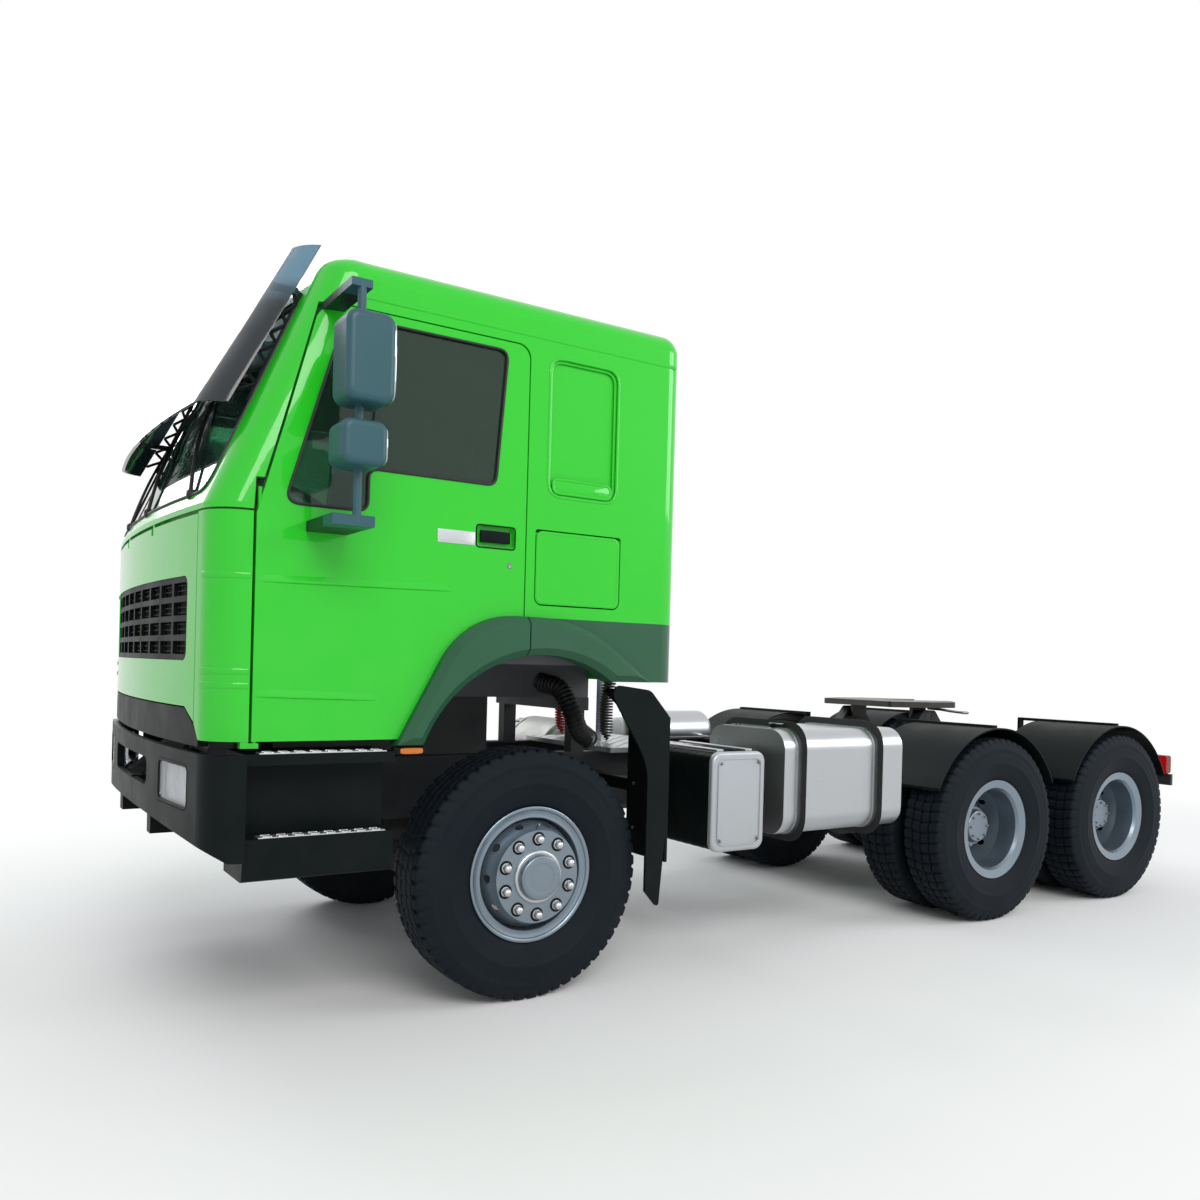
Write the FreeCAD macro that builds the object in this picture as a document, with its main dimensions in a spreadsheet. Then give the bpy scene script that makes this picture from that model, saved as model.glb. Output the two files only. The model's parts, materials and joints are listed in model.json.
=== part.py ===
import FreeCAD, Part
import math
import os
import re

import Sketcher
from FreeCAD import Vector

# Six by four tractor unit with a tilting sleeper cab.
# X runs forward, Y to the left and Z up. The origin is on the ground,
# under the middle of the length and width. Sizes are in millimetres.

SIZES = {
    # Whole vehicle
    "front_overhang": 1500,
    "wheelbase": 3225,
    "bogie_spread": 1350,
    "rear_overhang": 725,
    "running_gap": 6,
    "pin_play": 0.4,
    "seat_play": 0.3,
    # Wheels
    "tyre_radius": 562,
    "tyre_width": 300,
    "tread_width": 236,
    "shoulder_drop": 26,
    "bulge_radius": 420,
    "front_track": 2022,
    "rear_track": 1830,
    "twin_spacing": 345,
    "rim_radius": 302,
    "rim_width": 236,
    "rim_well_radius": 236,
    "rim_lip": 14,
    "disc_thickness": 16,
    "hub_bore": 118,
    "hub_cap": 38,
    "twin_hub": 130,
    "hub_plate_radius": 205,
    "hand_hole_count": 10,
    "hand_hole_radius": 21,
    "spindle_radius": 45,
    "kingpin_inset": 171,
    "kingpin_radius": 25,
    "boss_radius": 48,
    "boss_height": 130,
    "lug_height": 46,
    "arm_reach": 200,
    "tie_rod_radius": 18,
    "drum_width": 200,
    # Frame
    "rail_height": 1035,
    "rail_depth": 300,
    "rail_half_width": 425,
    "rail_flange": 80,
    "rail_web": 10,
    "rail_front": 1180,
    "tail_bar": 50,
    "tail_beam_height": 90,
    # Cab envelope, measured forward from the front axle
    "cab_nose": 1480,
    "cab_brow": 1045,
    "cab_tail": 750,
    "cab_half_width": 1168,
    "nose_radius": 8000,
    "nose_corner": 150,
    "tail_corner": 90,
    "cab_bottom": 1181,
    "cowl_height": 2080,
    "roof_height": 3105,
    "roof_edge": 95,
    "roof_seam": 2942,
    "cab_wall": 55,
    "glass_inset": 8,
    "glass_thickness": 8,
    "floor_height": 1500,
    "floor_thickness": 50,
    "tunnel_height": 1760,
    "tunnel_half_width": 365,
    "tunnel_front": 990,
    "underframe_height": 1330,
    "underframe_half_width": 420,
    "underframe_width": 90,
    # Doors and side panels
    "door_front": 1257,
    "door_top_front": 1021,
    "door_rear": 92,
    "door_top": 2896,
    "handle_front": 332,
    "handle_rear": 152,
    "handle_low": 1998,
    "handle_high": 2088,
    "handle_depth": 26,
    "door_belt": 2044,
    "pillar_relief": 136,
    "trim_height": 1708,
    "skirt_height": 1430,
    "window_front_low": 1144,
    "window_front_high": 925,
    "window_rear": 205,
    "window_rear_low": 250,
    "window_top": 2850,
    "window_sill": 2265,
    "window_low": 2094,
    "window_step": 815,
    "window_corner": 45,
    "hatch_front": 42,
    "hatch_rear": 400,
    "hatch_top": 2092,
    "hatch_bottom": 1768,
    "hatch_corner": 32,
    "hatch_swing_corner": 14,
    "blank_front": 8,
    "blank_rear": 374,
    "blank_top": 2868,
    "blank_bottom": 2250,
    "blank_corner": 70,
    "blank_depth": 14,
    "hinge_pin": 8,
    "hinge_inset": 13,
    "hinge_room": 5,
    # Wheel arch
    "arch_radius": 608,
    "arch_height": 936,
    "flare_front_low": 677,
    "flare_front_high": 381,
    "flare_sweep": 385,
    "flare_rear": 573,
    "flare_reach": 66,
    "flare_depth": 60,
    "flare_lip": 30,
    # Nose
    "flap_half_width": 985,
    "flap_bottom": 1302,
    "flap_top": 2042,
    "corner_top": 2050,
    "cowl_seam": 2058,
    "flap_hinge_y": 330,
    "flap_hinge_back": 22,
    "flap_hinge_drop": 10,
    "flap_lug_width": 28,
    "flap_thickness": 34,
    "notch_outer": 1040,
    "notch_inner": 880,
    "trim_bottom": 1156,
    "post_wall": 40,
    "grille_half_width": 885,
    "grille_bottom": 1480,
    "grille_top": 1812,
    "grille_rows": 4,
    "grille_columns": 9,
    "grille_bar": 24,
    "screen_half_width": 1000,
    "screen_bottom": 2128,
    "screen_top": 2930,
    "screen_corner": 90,
    # Bumper and steps
    "bumper_nose": 1500,
    "bumper_half_width": 1226,
    "bumper_top": 1134,
    "bumper_bottom": 735,
    "bumper_front_bottom": 860,
    "bumper_rear": 1274,
    "bumper_wall": 30,
    "step_rear": 684,
    "step_outer": 1200,
    "step_inner": 900,
    "step_top": 1134,
    "step_low": 816,
    "step_bottom": 650,
    "step_slab": 42,
    "step_recess": 150,
    # Front axle, springs and bogie
    "beam_width": 96,
    "beam_drop": 150,
    "beam_depth": 110,
    "spring_y": 392,
    "spring_width": 76,
    "front_spring_half": 790,
    "rear_spring_half": 660,
    "rear_spring_y": 505,
    "axle_tube": 72,
    "diff_radius": 215,
    "drum_radius": 196,
    "shaft_radius": 52,
    "shaft_height": 690,
    # Power unit
    "engine_front": 940,
    "engine_rear": 160,
    "engine_half_width": 330,
    "engine_bottom": 600,
    "engine_top": 1600,
    "gearbox_rear": 980,
    "gearbox_half_width": 240,
    "radiator_front": 1160,
    "radiator_depth": 90,
    "radiator_half_width": 325,
    "radiator_top": 1440,
    # Boxes and tanks on the frame, measured back from the front axle
    "mudguard_inner_edge": 575,
    "mudguard_rear": 700,
    "mudguard_top": 1393,
    "mudguard_bottom": 351,
    "mudguard_wall": 14,
    "mudguard_outer": 1200,
    "mudguard_inner": 870,
    "battery_front": 1000,
    "battery_rear": 1350,
    "battery_top": 1085,
    "battery_bottom": 580,
    "battery_outer": 1165,
    "battery_inner": 560,
    "tank_front": 1470,
    "tank_rear": 2380,
    "tank_top": 1190,
    "tank_bottom": 632,
    "tank_outer": 1180,
    "tank_inner": 560,
    "tank_corner": 110,
    "strap_width": 55,
    "strap_thickness": 6,
    "air_tank_radius": 138,
    "silencer_front": 960,
    "silencer_rear": 1560,
    "silencer_radius": 255,
    "deck_front": 800,
    "deck_rear": 1450,
    "deck_height": 1062,
    "deck_thickness": 27,
    # Fifth wheel
    "coupling_ahead": 300,
    "coupling_height": 1310,
    "plate_thickness": 40,
    "plate_half_width": 440,
    "plate_front": 330,
    "plate_rear": 480,
    "jaw_radius": 25.4,
    "throat_width": 300,
    "trunnion_radius": 30,
    "trunnion_drop": 95,
    "base_thickness": 16,
    # Sun visor
    "visor_low_reach": 175,
    "visor_high_reach": 101,
    "visor_drop": 627,
    "visor_rise": 57,
    "visor_half_width": 1030,
    "visor_wall": 14,
    "visor_depth": 88,
    # Cab interior
    "bunk_height": 2140,
    "bunk_depth": 640,
    "mattress": 130,
    "seat_level": 1780,
    "seat_width": 500,
    "seat_y": 620,
    "wheel_ring_radius": 225,
    "steer_rake": 35,
}

PLACES = {
    "overall_length": "front_overhang + wheelbase + bogie_spread + rear_overhang",
    "axle": "overall_length / 2 - front_overhang",
    "tail": "0 - overall_length / 2",
    "bogie_front": "axle - wheelbase",
    "bogie_rear": "bogie_front - bogie_spread",
    "bogie_mid": "bogie_front - bogie_spread / 2",
    "front_wheel_y": "front_track / 2",
    "kingpin_y": "front_track / 2 - kingpin_inset",
    "rail_bottom": "rail_height - rail_depth",
    "web_inner": "rail_half_width - rail_web",
    "outer_twin_y": "rear_track / 2 + twin_spacing / 2",
    "inner_twin_y": "rear_track / 2 - twin_spacing / 2",
    "side_inner": "cab_half_width - cab_wall",
    "flare_outer": "cab_half_width + flare_reach",
    "pivot_x": "axle + 1408",
    "pivot_z": "905",
    "boss_low": "tyre_radius - boss_height / 2",
    "boss_high": "tyre_radius + boss_height / 2",
    "hinge_place": "axle + door_front - running_gap - hinge_room - hinge_inset",
    "pillar_slope": "(door_front - door_top_front) / (door_top - door_belt)",
    "screen_lean": "(cab_nose - cab_brow) / (roof_height - cowl_height)",
    "visor_low": "roof_height - visor_drop",
    "visor_high": "roof_height + visor_rise",
    "visor_nose_low": "cab_nose - (visor_low - cowl_height) * screen_lean + visor_low_reach",
    "visor_nose_high": "cab_nose - (visor_high - cowl_height) * screen_lean + visor_high_reach",
}

doc = FreeCAD.newDocument("tractor_unit")
sheet = doc.addObject("Spreadsheet::Sheet", "dims")
for row, (alias, size) in enumerate(SIZES.items(), start=1):
    sheet.set(f"A{row}", alias)
    sheet.set(f"B{row}", str(size))
    sheet.setAlias(f"B{row}", alias)
doc.recompute()

NODES = []


def expand(text):
    """Write a size expression with places opened up and sizes read from the sheet."""
    def swap(match):
        word = match.group(0)
        if word in PLACES:
            return "(" + expand(PLACES[word]) + ")"
        return "dims." + word if word in SIZES else word
    return re.sub(r"[A-Za-z_]\w*", swap, str(text))


def value(text):
    return float(sheet.evalExpression(expand(text)))


def bind(target, name, text):
    target.setExpression(name, expand(text))


def node(label, thing):
    """Give a finished sub-part its own label and keep it for export."""
    thing.Label = label
    NODES.append(thing)
    return thing


# Sketches and the bodies made from them

def pin_point(sketch, shape, end, across, up):
    """Hold one point of a sketch at two bound distances from its origin."""
    for kind, text, axis in (("DistanceX", across, -2), ("DistanceY", up, -1)):
        size = value(text)
        if size == 0:
            sketch.addConstraint(Sketcher.Constraint("PointOnObject", shape, end, axis))
            continue
        if size > 0:
            index = sketch.addConstraint(Sketcher.Constraint(kind, -1, 1, shape, end, size))
            bind(sketch, f"Constraints[{index}]", text)
        else:
            index = sketch.addConstraint(Sketcher.Constraint(kind, shape, end, -1, 1, -size))
            bind(sketch, f"Constraints[{index}]", f"0 - ({text})")


def draw_ring(sketch, across, up, radius):
    circle = Part.Circle(Vector(value(across), value(up), 0), Vector(0, 0, 1), value(radius))
    shape = sketch.addGeometry(circle, False)
    index = sketch.addConstraint(Sketcher.Constraint("Radius", shape, value(radius)))
    bind(sketch, f"Constraints[{index}]", radius)
    pin_point(sketch, shape, 3, across, up)


def draw_outline(sketch, corners):
    """Close a loop of straight edges, with an arc at each corner that has a radius."""
    at = [Vector(value(corner[0]), value(corner[1]), 0) for corner in corners]
    radii = [value(corner[2]) if len(corner) > 2 else 0 for corner in corners]
    count = len(at)
    arrive, leave, arcs = [], [], []
    for i, here in enumerate(at):
        back = (at[i - 1] - here).normalize()
        ahead = (at[(i + 1) % count] - here).normalize()
        half = back.getAngle(ahead) / 2
        trim = radii[i] / math.tan(half) if radii[i] else 0
        arrive.append(here + back * trim)
        leave.append(here + ahead * trim)
        arc = None
        if radii[i]:
            middle = here + (back + ahead).normalize() * (radii[i] / math.sin(half))
            left_turn = back.cross(ahead).z < 0
            first, last = (arrive[i], leave[i]) if left_turn else (leave[i], arrive[i])
            angles = [math.atan2((p - middle).y, (p - middle).x) for p in (first, last)]
            circle = Part.Circle(middle, Vector(0, 0, 1), radii[i])
            arc = (Part.ArcOfCircle(circle, angles[0], angles[1]), left_turn)
        arcs.append(arc)
    base = sketch.GeometryCount
    sketch.addGeometry([Part.LineSegment(leave[i], arrive[(i + 1) % count]) for i in range(count)], False)
    for i, arc in enumerate(arcs):
        before, after = base + (i - 1) % count, base + i
        if arc is None:
            sketch.addConstraint(Sketcher.Constraint("Coincident", before, 2, after, 1))
            pin_point(sketch, after, 1, corners[i][0], corners[i][1])
            continue
        shape = sketch.addGeometry(arc[0], False)
        start, end = (1, 2) if arc[1] else (2, 1)
        sketch.addConstraint(Sketcher.Constraint("Tangent", before, 2, shape, start))
        sketch.addConstraint(Sketcher.Constraint("Tangent", after, 1, shape, end))
        index = sketch.addConstraint(Sketcher.Constraint("Radius", shape, radii[i]))
        bind(sketch, f"Constraints[{index}]", corners[i][2])
        point = sketch.addGeometry(Part.Point(at[i]), True)
        sketch.addConstraint(Sketcher.Constraint("PointOnObject", point, 1, before))
        sketch.addConstraint(Sketcher.Constraint("PointOnObject", point, 1, after))
        pin_point(sketch, point, 1, corners[i][0], corners[i][1])


def draw(sketch, loops):
    """A loop is a ring (across, up, radius) or a list of corners."""
    for loop in loops:
        if isinstance(loop, tuple):
            draw_ring(sketch, *loop)
        else:
            draw_outline(sketch, loop)


def body_sketch(body, plane, offset):
    sketch = body.newObject("Sketcher::SketchObject", body.Name + "_outline")
    support = next(f for f in body.Origin.OriginFeatures if f.Role == plane + "_Plane")
    sketch.AttachmentSupport = (support, "")
    sketch.MapMode = "FlatFace"
    bind(sketch, ".AttachmentOffset.Base.z", offset)
    return sketch


def slab(name, plane, low, high, *loops):
    """A body padded square to a plane between two bound levels."""
    body = doc.addObject("PartDesign::Body", name)
    start = f"0 - ({high})" if plane == "XZ" else low
    sketch = body_sketch(body, plane, start)
    draw(sketch, loops)
    pad = body.newObject("PartDesign::Pad", name + "_pad")
    pad.Profile = sketch
    bind(pad, "Length", f"({high}) - ({low})")
    sketch.Visibility = False
    return body


def turned(name, corners, x, y, z):
    """A body of revolution about a line along Y. Corners are (radius, along Y)."""
    body = doc.addObject("PartDesign::Body", name)
    sketch = body_sketch(body, "XY", "0")
    draw_outline(sketch, corners)
    turn = body.newObject("PartDesign::Revolution", name + "_turn")
    turn.Profile = sketch
    turn.ReferenceAxis = (sketch, ["V_Axis"])
    turn.Angle = 360
    place(body, x, y, z)
    return body


def place(thing, x, y, z):
    for axis, text in zip("xyz", (x, y, z)):
        bind(thing, f"Placement.Base.{axis}", text)


def box(name, x, y, z):
    """A plain block between bound limits, each given as (low, high)."""
    block = doc.addObject("Part::Box", name)
    for side, (low, high) in zip(("Length", "Width", "Height"), (x, y, z)):
        bind(block, side, f"({high}) - ({low})")
    place(block, x[0], y[0], z[0])
    return block


AXIS_TURNS = {
    "x": FreeCAD.Rotation(Vector(0, 1, 0), 90),
    "y": FreeCAD.Rotation(Vector(1, 0, 0), -90),
    "z": FreeCAD.Rotation(),
}


def rod(name, axis, radius, length, x, y, z):
    """A cylinder that starts at a bound point and runs along one axis."""
    bar = doc.addObject("Part::Cylinder", name)
    bind(bar, "Radius", radius)
    bind(bar, "Height", length)
    bar.Placement.Rotation = AXIS_TURNS[axis]
    place(bar, x, y, z)
    return bar


def fuse(name, *things):
    joined = doc.addObject("Part::MultiFuse", name)
    joined.Shapes = list(things)
    return joined


def cut(name, base, *tools):
    piece = doc.addObject("Part::Cut", name)
    piece.Base = base
    piece.Tool = tools[0] if len(tools) == 1 else fuse(name + "_tools", *tools)
    return piece


def common(name, first, second):
    piece = doc.addObject("Part::Common", name)
    piece.Base = first
    piece.Tool = second
    return piece


def softened(name, thing, radius, chosen):
    """The same form with the chosen edges rounded."""
    doc.recompute()
    rounded = doc.addObject("Part::Fillet", name)
    rounded.Base = thing
    size = value(radius)
    rounded.Edges = [(i, size, size) for i, edge in enumerate(thing.Shape.Edges, start=1) if chosen(edge.BoundBox)]
    return rounded


def mirror(name, thing):
    twin = doc.addObject("Part::Mirroring", name)
    twin.Source = thing
    twin.Normal = Vector(0, 1, 0)
    return twin


def group(name, *things):
    together = doc.addObject("Part::Compound", name)
    together.Links = list(things)
    return together


def both_sides(name, thing):
    return group(name, thing, mirror(name + "_right", thing))


# Cab envelope

def plan_section(name, height, nose, half_width, inset, behind="0"):
    """Cab outline from above: a bowed nose, rounded corners and a flat back."""
    sketch = doc.addObject("Sketcher::SketchObject", name)
    sizes = {
        "nose": f"axle + ({nose}) - ({inset})",
        "half": f"({half_width}) - ({inset})",
        "back": f"cab_tail - axle - ({inset}) + ({behind})",
        "bow": f"nose_radius - ({inset})",
        "corner": f"nose_corner - ({inset})",
        "tail": f"tail_corner - ({inset}) * 0.8",
    }
    nose_x, half, back, bow, corner, tail = (value(text) for text in sizes.values())
    bow_x = nose_x - bow
    corner_x = bow_x + math.sqrt((bow - corner) ** 2 - (half - corner) ** 2)
    tilt = math.atan2(half - corner, corner_x - bow_x)
    tail_x = tail - back
    quarter = math.pi / 2

    def arc(x, y, radius, start, end):
        return Part.ArcOfCircle(Part.Circle(Vector(x, y, 0), Vector(0, 0, 1), radius), start, end)

    sketch.addGeometry([
        arc(bow_x, 0, bow, -tilt, tilt),
        arc(corner_x, half - corner, corner, tilt, quarter),
        Part.LineSegment(Vector(corner_x, half, 0), Vector(tail_x, half, 0)),
        arc(tail_x, half - tail, tail, quarter, 2 * quarter),
        Part.LineSegment(Vector(-back, half - tail, 0), Vector(-back, tail - half, 0)),
        arc(tail_x, tail - half, tail, 2 * quarter, 3 * quarter),
        Part.LineSegment(Vector(tail_x, -half, 0), Vector(corner_x, -half, 0)),
        arc(corner_x, corner - half, corner, -quarter, -tilt),
    ], False)
    for i in range(8):
        sketch.addConstraint(Sketcher.Constraint("Tangent", i, 2, (i + 1) % 8, 1))
    sketch.addConstraint(Sketcher.Constraint("Vertical", 4))
    sketch.addConstraint(Sketcher.Constraint("PointOnObject", 0, 3, -1))
    drives = [("Radius", (0,), "bow"), ("Radius", (1,), "corner"), ("Radius", (7,), "corner"),
              ("Radius", (3,), "tail"), ("Radius", (5,), "tail"),
              ("DistanceY", (-1, 1, 2, 1), "half"), ("DistanceY", (6, 1, -1, 1), "half")]
    for kind, where, key in drives:
        index = sketch.addConstraint(Sketcher.Constraint(kind, *where, value(sizes[key])))
        bind(sketch, f"Constraints[{index}]", sizes[key])
    span = f"({sizes['bow']}) - ({sizes['nose']})"
    index = sketch.addConstraint(Sketcher.Constraint("DistanceX", 0, 3, -1, 1, value(span)))
    bind(sketch, f"Constraints[{index}]", span)
    if value(sizes["back"]) > 0:
        index = sketch.addConstraint(Sketcher.Constraint("DistanceX", 4, 1, -1, 1, back))
        bind(sketch, f"Constraints[{index}]", sizes["back"])
    else:
        index = sketch.addConstraint(Sketcher.Constraint("DistanceX", -1, 1, 4, 1, -back))
        bind(sketch, f"Constraints[{index}]", f"0 - ({sizes['back']})")
    bind(sketch, "Placement.Base.z", height)
    return sketch


def raised(name, section, depth, lean=None):
    """A plan outline carried upwards, or along a lean in the side view."""
    solid = doc.addObject("Part::Extrusion", name)
    solid.Base = section
    solid.Solid = True
    solid.DirMode = "Custom"
    if lean is None:
        solid.Dir = Vector(0, 0, 1)
        bind(solid, "LengthFwd", depth)
        return solid
    run, rise = (value(text) for text in lean)
    solid.Dir = Vector(run, 0, rise) / math.hypot(run, rise)
    bind(solid, "LengthFwd", f"({depth}) * {math.hypot(run, rise) / rise}")
    return solid


def envelope(name, inset, low):
    """The closed form of the cab at a distance inside its outer skin."""
    rise = f"roof_height - ({inset}) - cowl_height"
    lower = raised(name + "_lower", plan_section(name + "_low", low, "cab_nose", "cab_half_width", inset),
                   f"cowl_height - ({low})")
    tall = raised(name + "_tall", plan_section(name + "_base", "cowl_height", "cab_nose + 200", "cab_half_width",
                                               inset), rise)
    leaning = raised(name + "_lean", plan_section(name + "_cowl", "cowl_height", "cab_nose", "cab_half_width",
                                                  inset, "600"),
                     f"{rise} + 60", ("cab_brow - cab_nose", "roof_height - cowl_height"))
    upper = common(name + "_upper", tall, leaning)
    doc.recompute()
    top = value(f"roof_height - ({inset})")
    rounded = doc.addObject("Part::Fillet", name + "_edges")
    rounded.Base = upper
    radius = value(f"roof_edge - ({inset})")
    rounded.Edges = [(i, radius, radius) for i, edge in enumerate(upper.Shape.Edges, start=1)
                     if edge.BoundBox.ZMin > top - 1]
    return fuse(name, lower, rounded)


def nose_band(name, inset, low, high, nose, half_width):
    """An upright block with the nose outline between two levels."""
    return raised(name, plan_section(name + "_low", low, nose, half_width, inset), f"({high}) - ({low})")


def door_outline(gap):
    """Side view of the left door, drawn in by a gap on every edge but the one on its flare."""
    lean = "22 * (flare_front_low - flare_front_high) / (trim_height - cab_bottom + 22)"
    return [
        (f"axle + door_front - hinge_room - ({gap})", f"cab_bottom + ({gap}) - running_gap"),
        (f"axle + door_front - hinge_room - ({gap})", "door_belt"),
        (f"axle + door_top_front - ({gap})", f"door_top - ({gap})", "90"),
        (f"axle + door_rear + ({gap})", f"door_top - ({gap})", "60"),
        (f"axle + door_rear + ({gap})", "trim_height + seat_play"),
        ("axle + flare_front_high + seat_play", "trim_height + seat_play", "flare_sweep"),
        (f"axle + flare_front_low + seat_play - ({lean})", f"cab_bottom + ({gap}) - running_gap"),
    ]


WINDOW = [
    ("axle + window_front_low", "window_low", "window_corner"),
    ("axle + window_front_high", "window_top", "window_corner"),
    ("axle + window_rear", "window_top", "window_corner"),
    ("axle + window_rear_low", "window_sill", "window_corner"),
    ("axle + window_step", "window_sill", "window_corner"),
    ("axle + window_step", "window_low", "window_corner"),
]


def inset_window(gap):
    """The window outline moved outwards by a gap, for the glass that sits behind it."""
    return [
        (f"axle + window_front_low + ({gap})", f"window_low - ({gap})", f"window_corner + ({gap})"),
        (f"axle + window_front_high + ({gap})", f"window_top + ({gap})", f"window_corner + ({gap})"),
        (f"axle + window_rear - ({gap})", f"window_top + ({gap})", f"window_corner + ({gap})"),
        (f"axle + window_rear_low - ({gap})", f"window_sill - ({gap})", f"window_corner + ({gap})"),
        (f"axle + window_step - ({gap})", f"window_sill - ({gap})", f"window_corner - ({gap})"),
        (f"axle + window_step - ({gap})", f"window_low - ({gap})", f"window_corner + ({gap})"),
    ]


def upright(name, low, high, corners):
    """A side-view outline carried across the cab between two distances from the middle."""
    return slab(name, "XZ", low, high, corners)


def front_view(name, corners, *more):
    """A front-view outline carried along the nose of the cab."""
    return slab(name, "YZ", "axle + 500", "axle + cab_nose + 60", corners, *more)


def wide_rect(left, right, low, high, radius=None):
    corner = (radius,) if radius else ()
    return [(left, low, *corner), (right, low, *corner), (right, high, *corner), (left, high, *corner)]


# Wheels

def tyre(name, y):
    """A tyre body about the wheel axis, from bead to bead."""
    half = "tyre_width / 2"
    tread = "tread_width / 2"
    bead = "rim_width / 2 - rim_lip"
    corners = [
        ("rim_well_radius + 22", f"{bead}"),
        ("rim_radius + 2", f"{bead}"),
        ("bulge_radius", half, "60"),
        ("tyre_radius - shoulder_drop", "tread_width / 2 + 14", "16"),
        ("tyre_radius", tread),
        ("tyre_radius", f"0 - ({tread})"),
        ("tyre_radius - shoulder_drop", "0 - tread_width / 2 - 14", "16"),
        ("bulge_radius", f"0 - {half}", "60"),
        ("rim_radius + 2", f"0 - ({bead})"),
        ("rim_well_radius + 22", f"0 - ({bead})"),
    ]
    return turned(name, corners, "0", y, "tyre_radius")


def disc_section(face, bore):
    """Half section of a wheel whose disc swells outwards to its bolting face."""
    well = "rim_well_radius"
    half = "rim_width / 2"
    return [
        (bore, f"({face}) - disc_thickness"),
        ("hub_plate_radius", f"({face}) - disc_thickness"),
        (f"{well} + 6", "34"),
        (f"{well} + 6", f"30 - {half}"),
        (f"{well} + 18", f"12 - {half}"),
        ("rim_radius", f"0 - {half}"),
        ("rim_radius", f"rim_lip - {half}"),
        (f"{well} + 21.5", f"rim_lip - {half}"),
        (f"{well} + 21.5", f"{half} - rim_lip"),
        ("rim_radius", f"{half} - rim_lip"),
        ("rim_radius", half),
        (f"{well} + 18", f"{half} - 12"),
        (f"{well} + 10", "66"),
        ("hub_plate_radius", face),
        (bore, face),
    ]


def hand_holes(name, face):
    """Oval windows through the cone of a wheel disc, one for each wheel nut."""
    count = int(value("hand_hole_count"))
    ovals = []
    for number in range(count):
        turn = FreeCAD.Rotation(Vector(0, 1, 0), 360 * (number + 0.5) / count)
        tube = doc.addObject("Part::Cylinder", f"{name}_{number}")
        bind(tube, "Radius", "hand_hole_radius")
        tube.Height = 90
        lean = FreeCAD.Rotation(Vector(1, 0, 0), -24)
        centre = Vector(0, value(f"({face}) - 66"), value("hub_plate_radius - 6"))
        tube.Placement = FreeCAD.Placement(turn.multVec(centre), turn.multiply(lean))
        ovals.append(tube)
    carried = group(name, *ovals)
    return carried


def hub_section(face, back):
    """Half section of a hub: a flange behind the disc and a round cap in front."""
    return [
        ("0", f"({face}) + hub_cap"),
        ("0", f"({face}) + hub_cap - 14"),
        ("spindle_radius + pin_play", f"({face}) + hub_cap - 14"),
        ("spindle_radius + pin_play", back),
        ("hub_bore", back),
        ("hub_bore", f"({face}) - disc_thickness"),
        ("hub_bore", face),
        ("hub_bore - 12", face),
        ("hub_bore - 22", f"({face}) + hub_cap", "8"),
    ]


def front_wheels():
    face = "twin_spacing / 2"
    for side, x_sign in (("left", 1), ("right", -1)):
        rubber = tyre(f"tyre_front_{side}_turn", "front_wheel_y")
        whole = turned(f"rim_front_{side}_disc", disc_section(face, "hub_bore - 6"), "0", "front_wheel_y",
                       "tyre_radius")
        holes = hand_holes(f"rim_front_{side}_holes", face)
        place(holes, "0", "front_wheel_y", "tyre_radius")
        disc = cut(f"rim_front_{side}_open", whole, holes)
        hub = turned(f"rim_front_{side}_hub", hub_section(face, "0 - 10"), "0", "front_wheel_y", "tyre_radius")
        for kind, piece in (("tyre", rubber), ("rim", fuse(f"rim_front_{side}_body", disc, hub))):
            shifted = piece if x_sign > 0 else mirror(f"{kind}_front_right_mirror", piece)
            carried = group(f"{kind}_front_{side}_set", shifted)
            place(carried, "axle", "0", "0")
            node(f"{kind}_front_{side}", carried)


def rear_wheels():
    for number, centre in ((1, "bogie_front"), (2, "bogie_rear")):
        for side in ("left", "right"):
            tag = f"rear_{number}_{side}"
            rubber = group(f"tyre_{tag}_pair", tyre(f"tyre_{tag}_outer", "outer_twin_y"),
                           tyre(f"tyre_{tag}_inner", "inner_twin_y"))
            discs = []
            for place_name, y in (("inner", "inner_twin_y"), ("outer", "0 - outer_twin_y")):
                whole = turned(f"rim_{tag}_{place_name}", disc_section("twin_spacing / 2", "hub_bore - 6"), "0", y,
                               "tyre_radius")
                holes = hand_holes(f"rim_{tag}_{place_name}_holes", "twin_spacing / 2")
                place(holes, "0", y, "tyre_radius")
                discs.append(cut(f"rim_{tag}_{place_name}_open", whole, holes))
            inner = discs[0]
            outer = mirror(f"rim_{tag}_flip", discs[1])
            hub = turned(f"rim_{tag}_hub", hub_section("twin_hub", "0 - 24"), "0", "rear_track / 2", "tyre_radius")
            wheel_pair = fuse(f"rim_{tag}_pair", inner, outer, hub)
            for kind, piece in (("tyre", rubber), ("rim", wheel_pair)):
                shifted = piece if side == "left" else mirror(f"{kind}_{tag}_mirror", piece)
                carried = group(f"{kind}_{tag}_set", shifted)
                place(carried, centre, "0", "0")
                node(f"{kind}_{tag}", carried)


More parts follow.
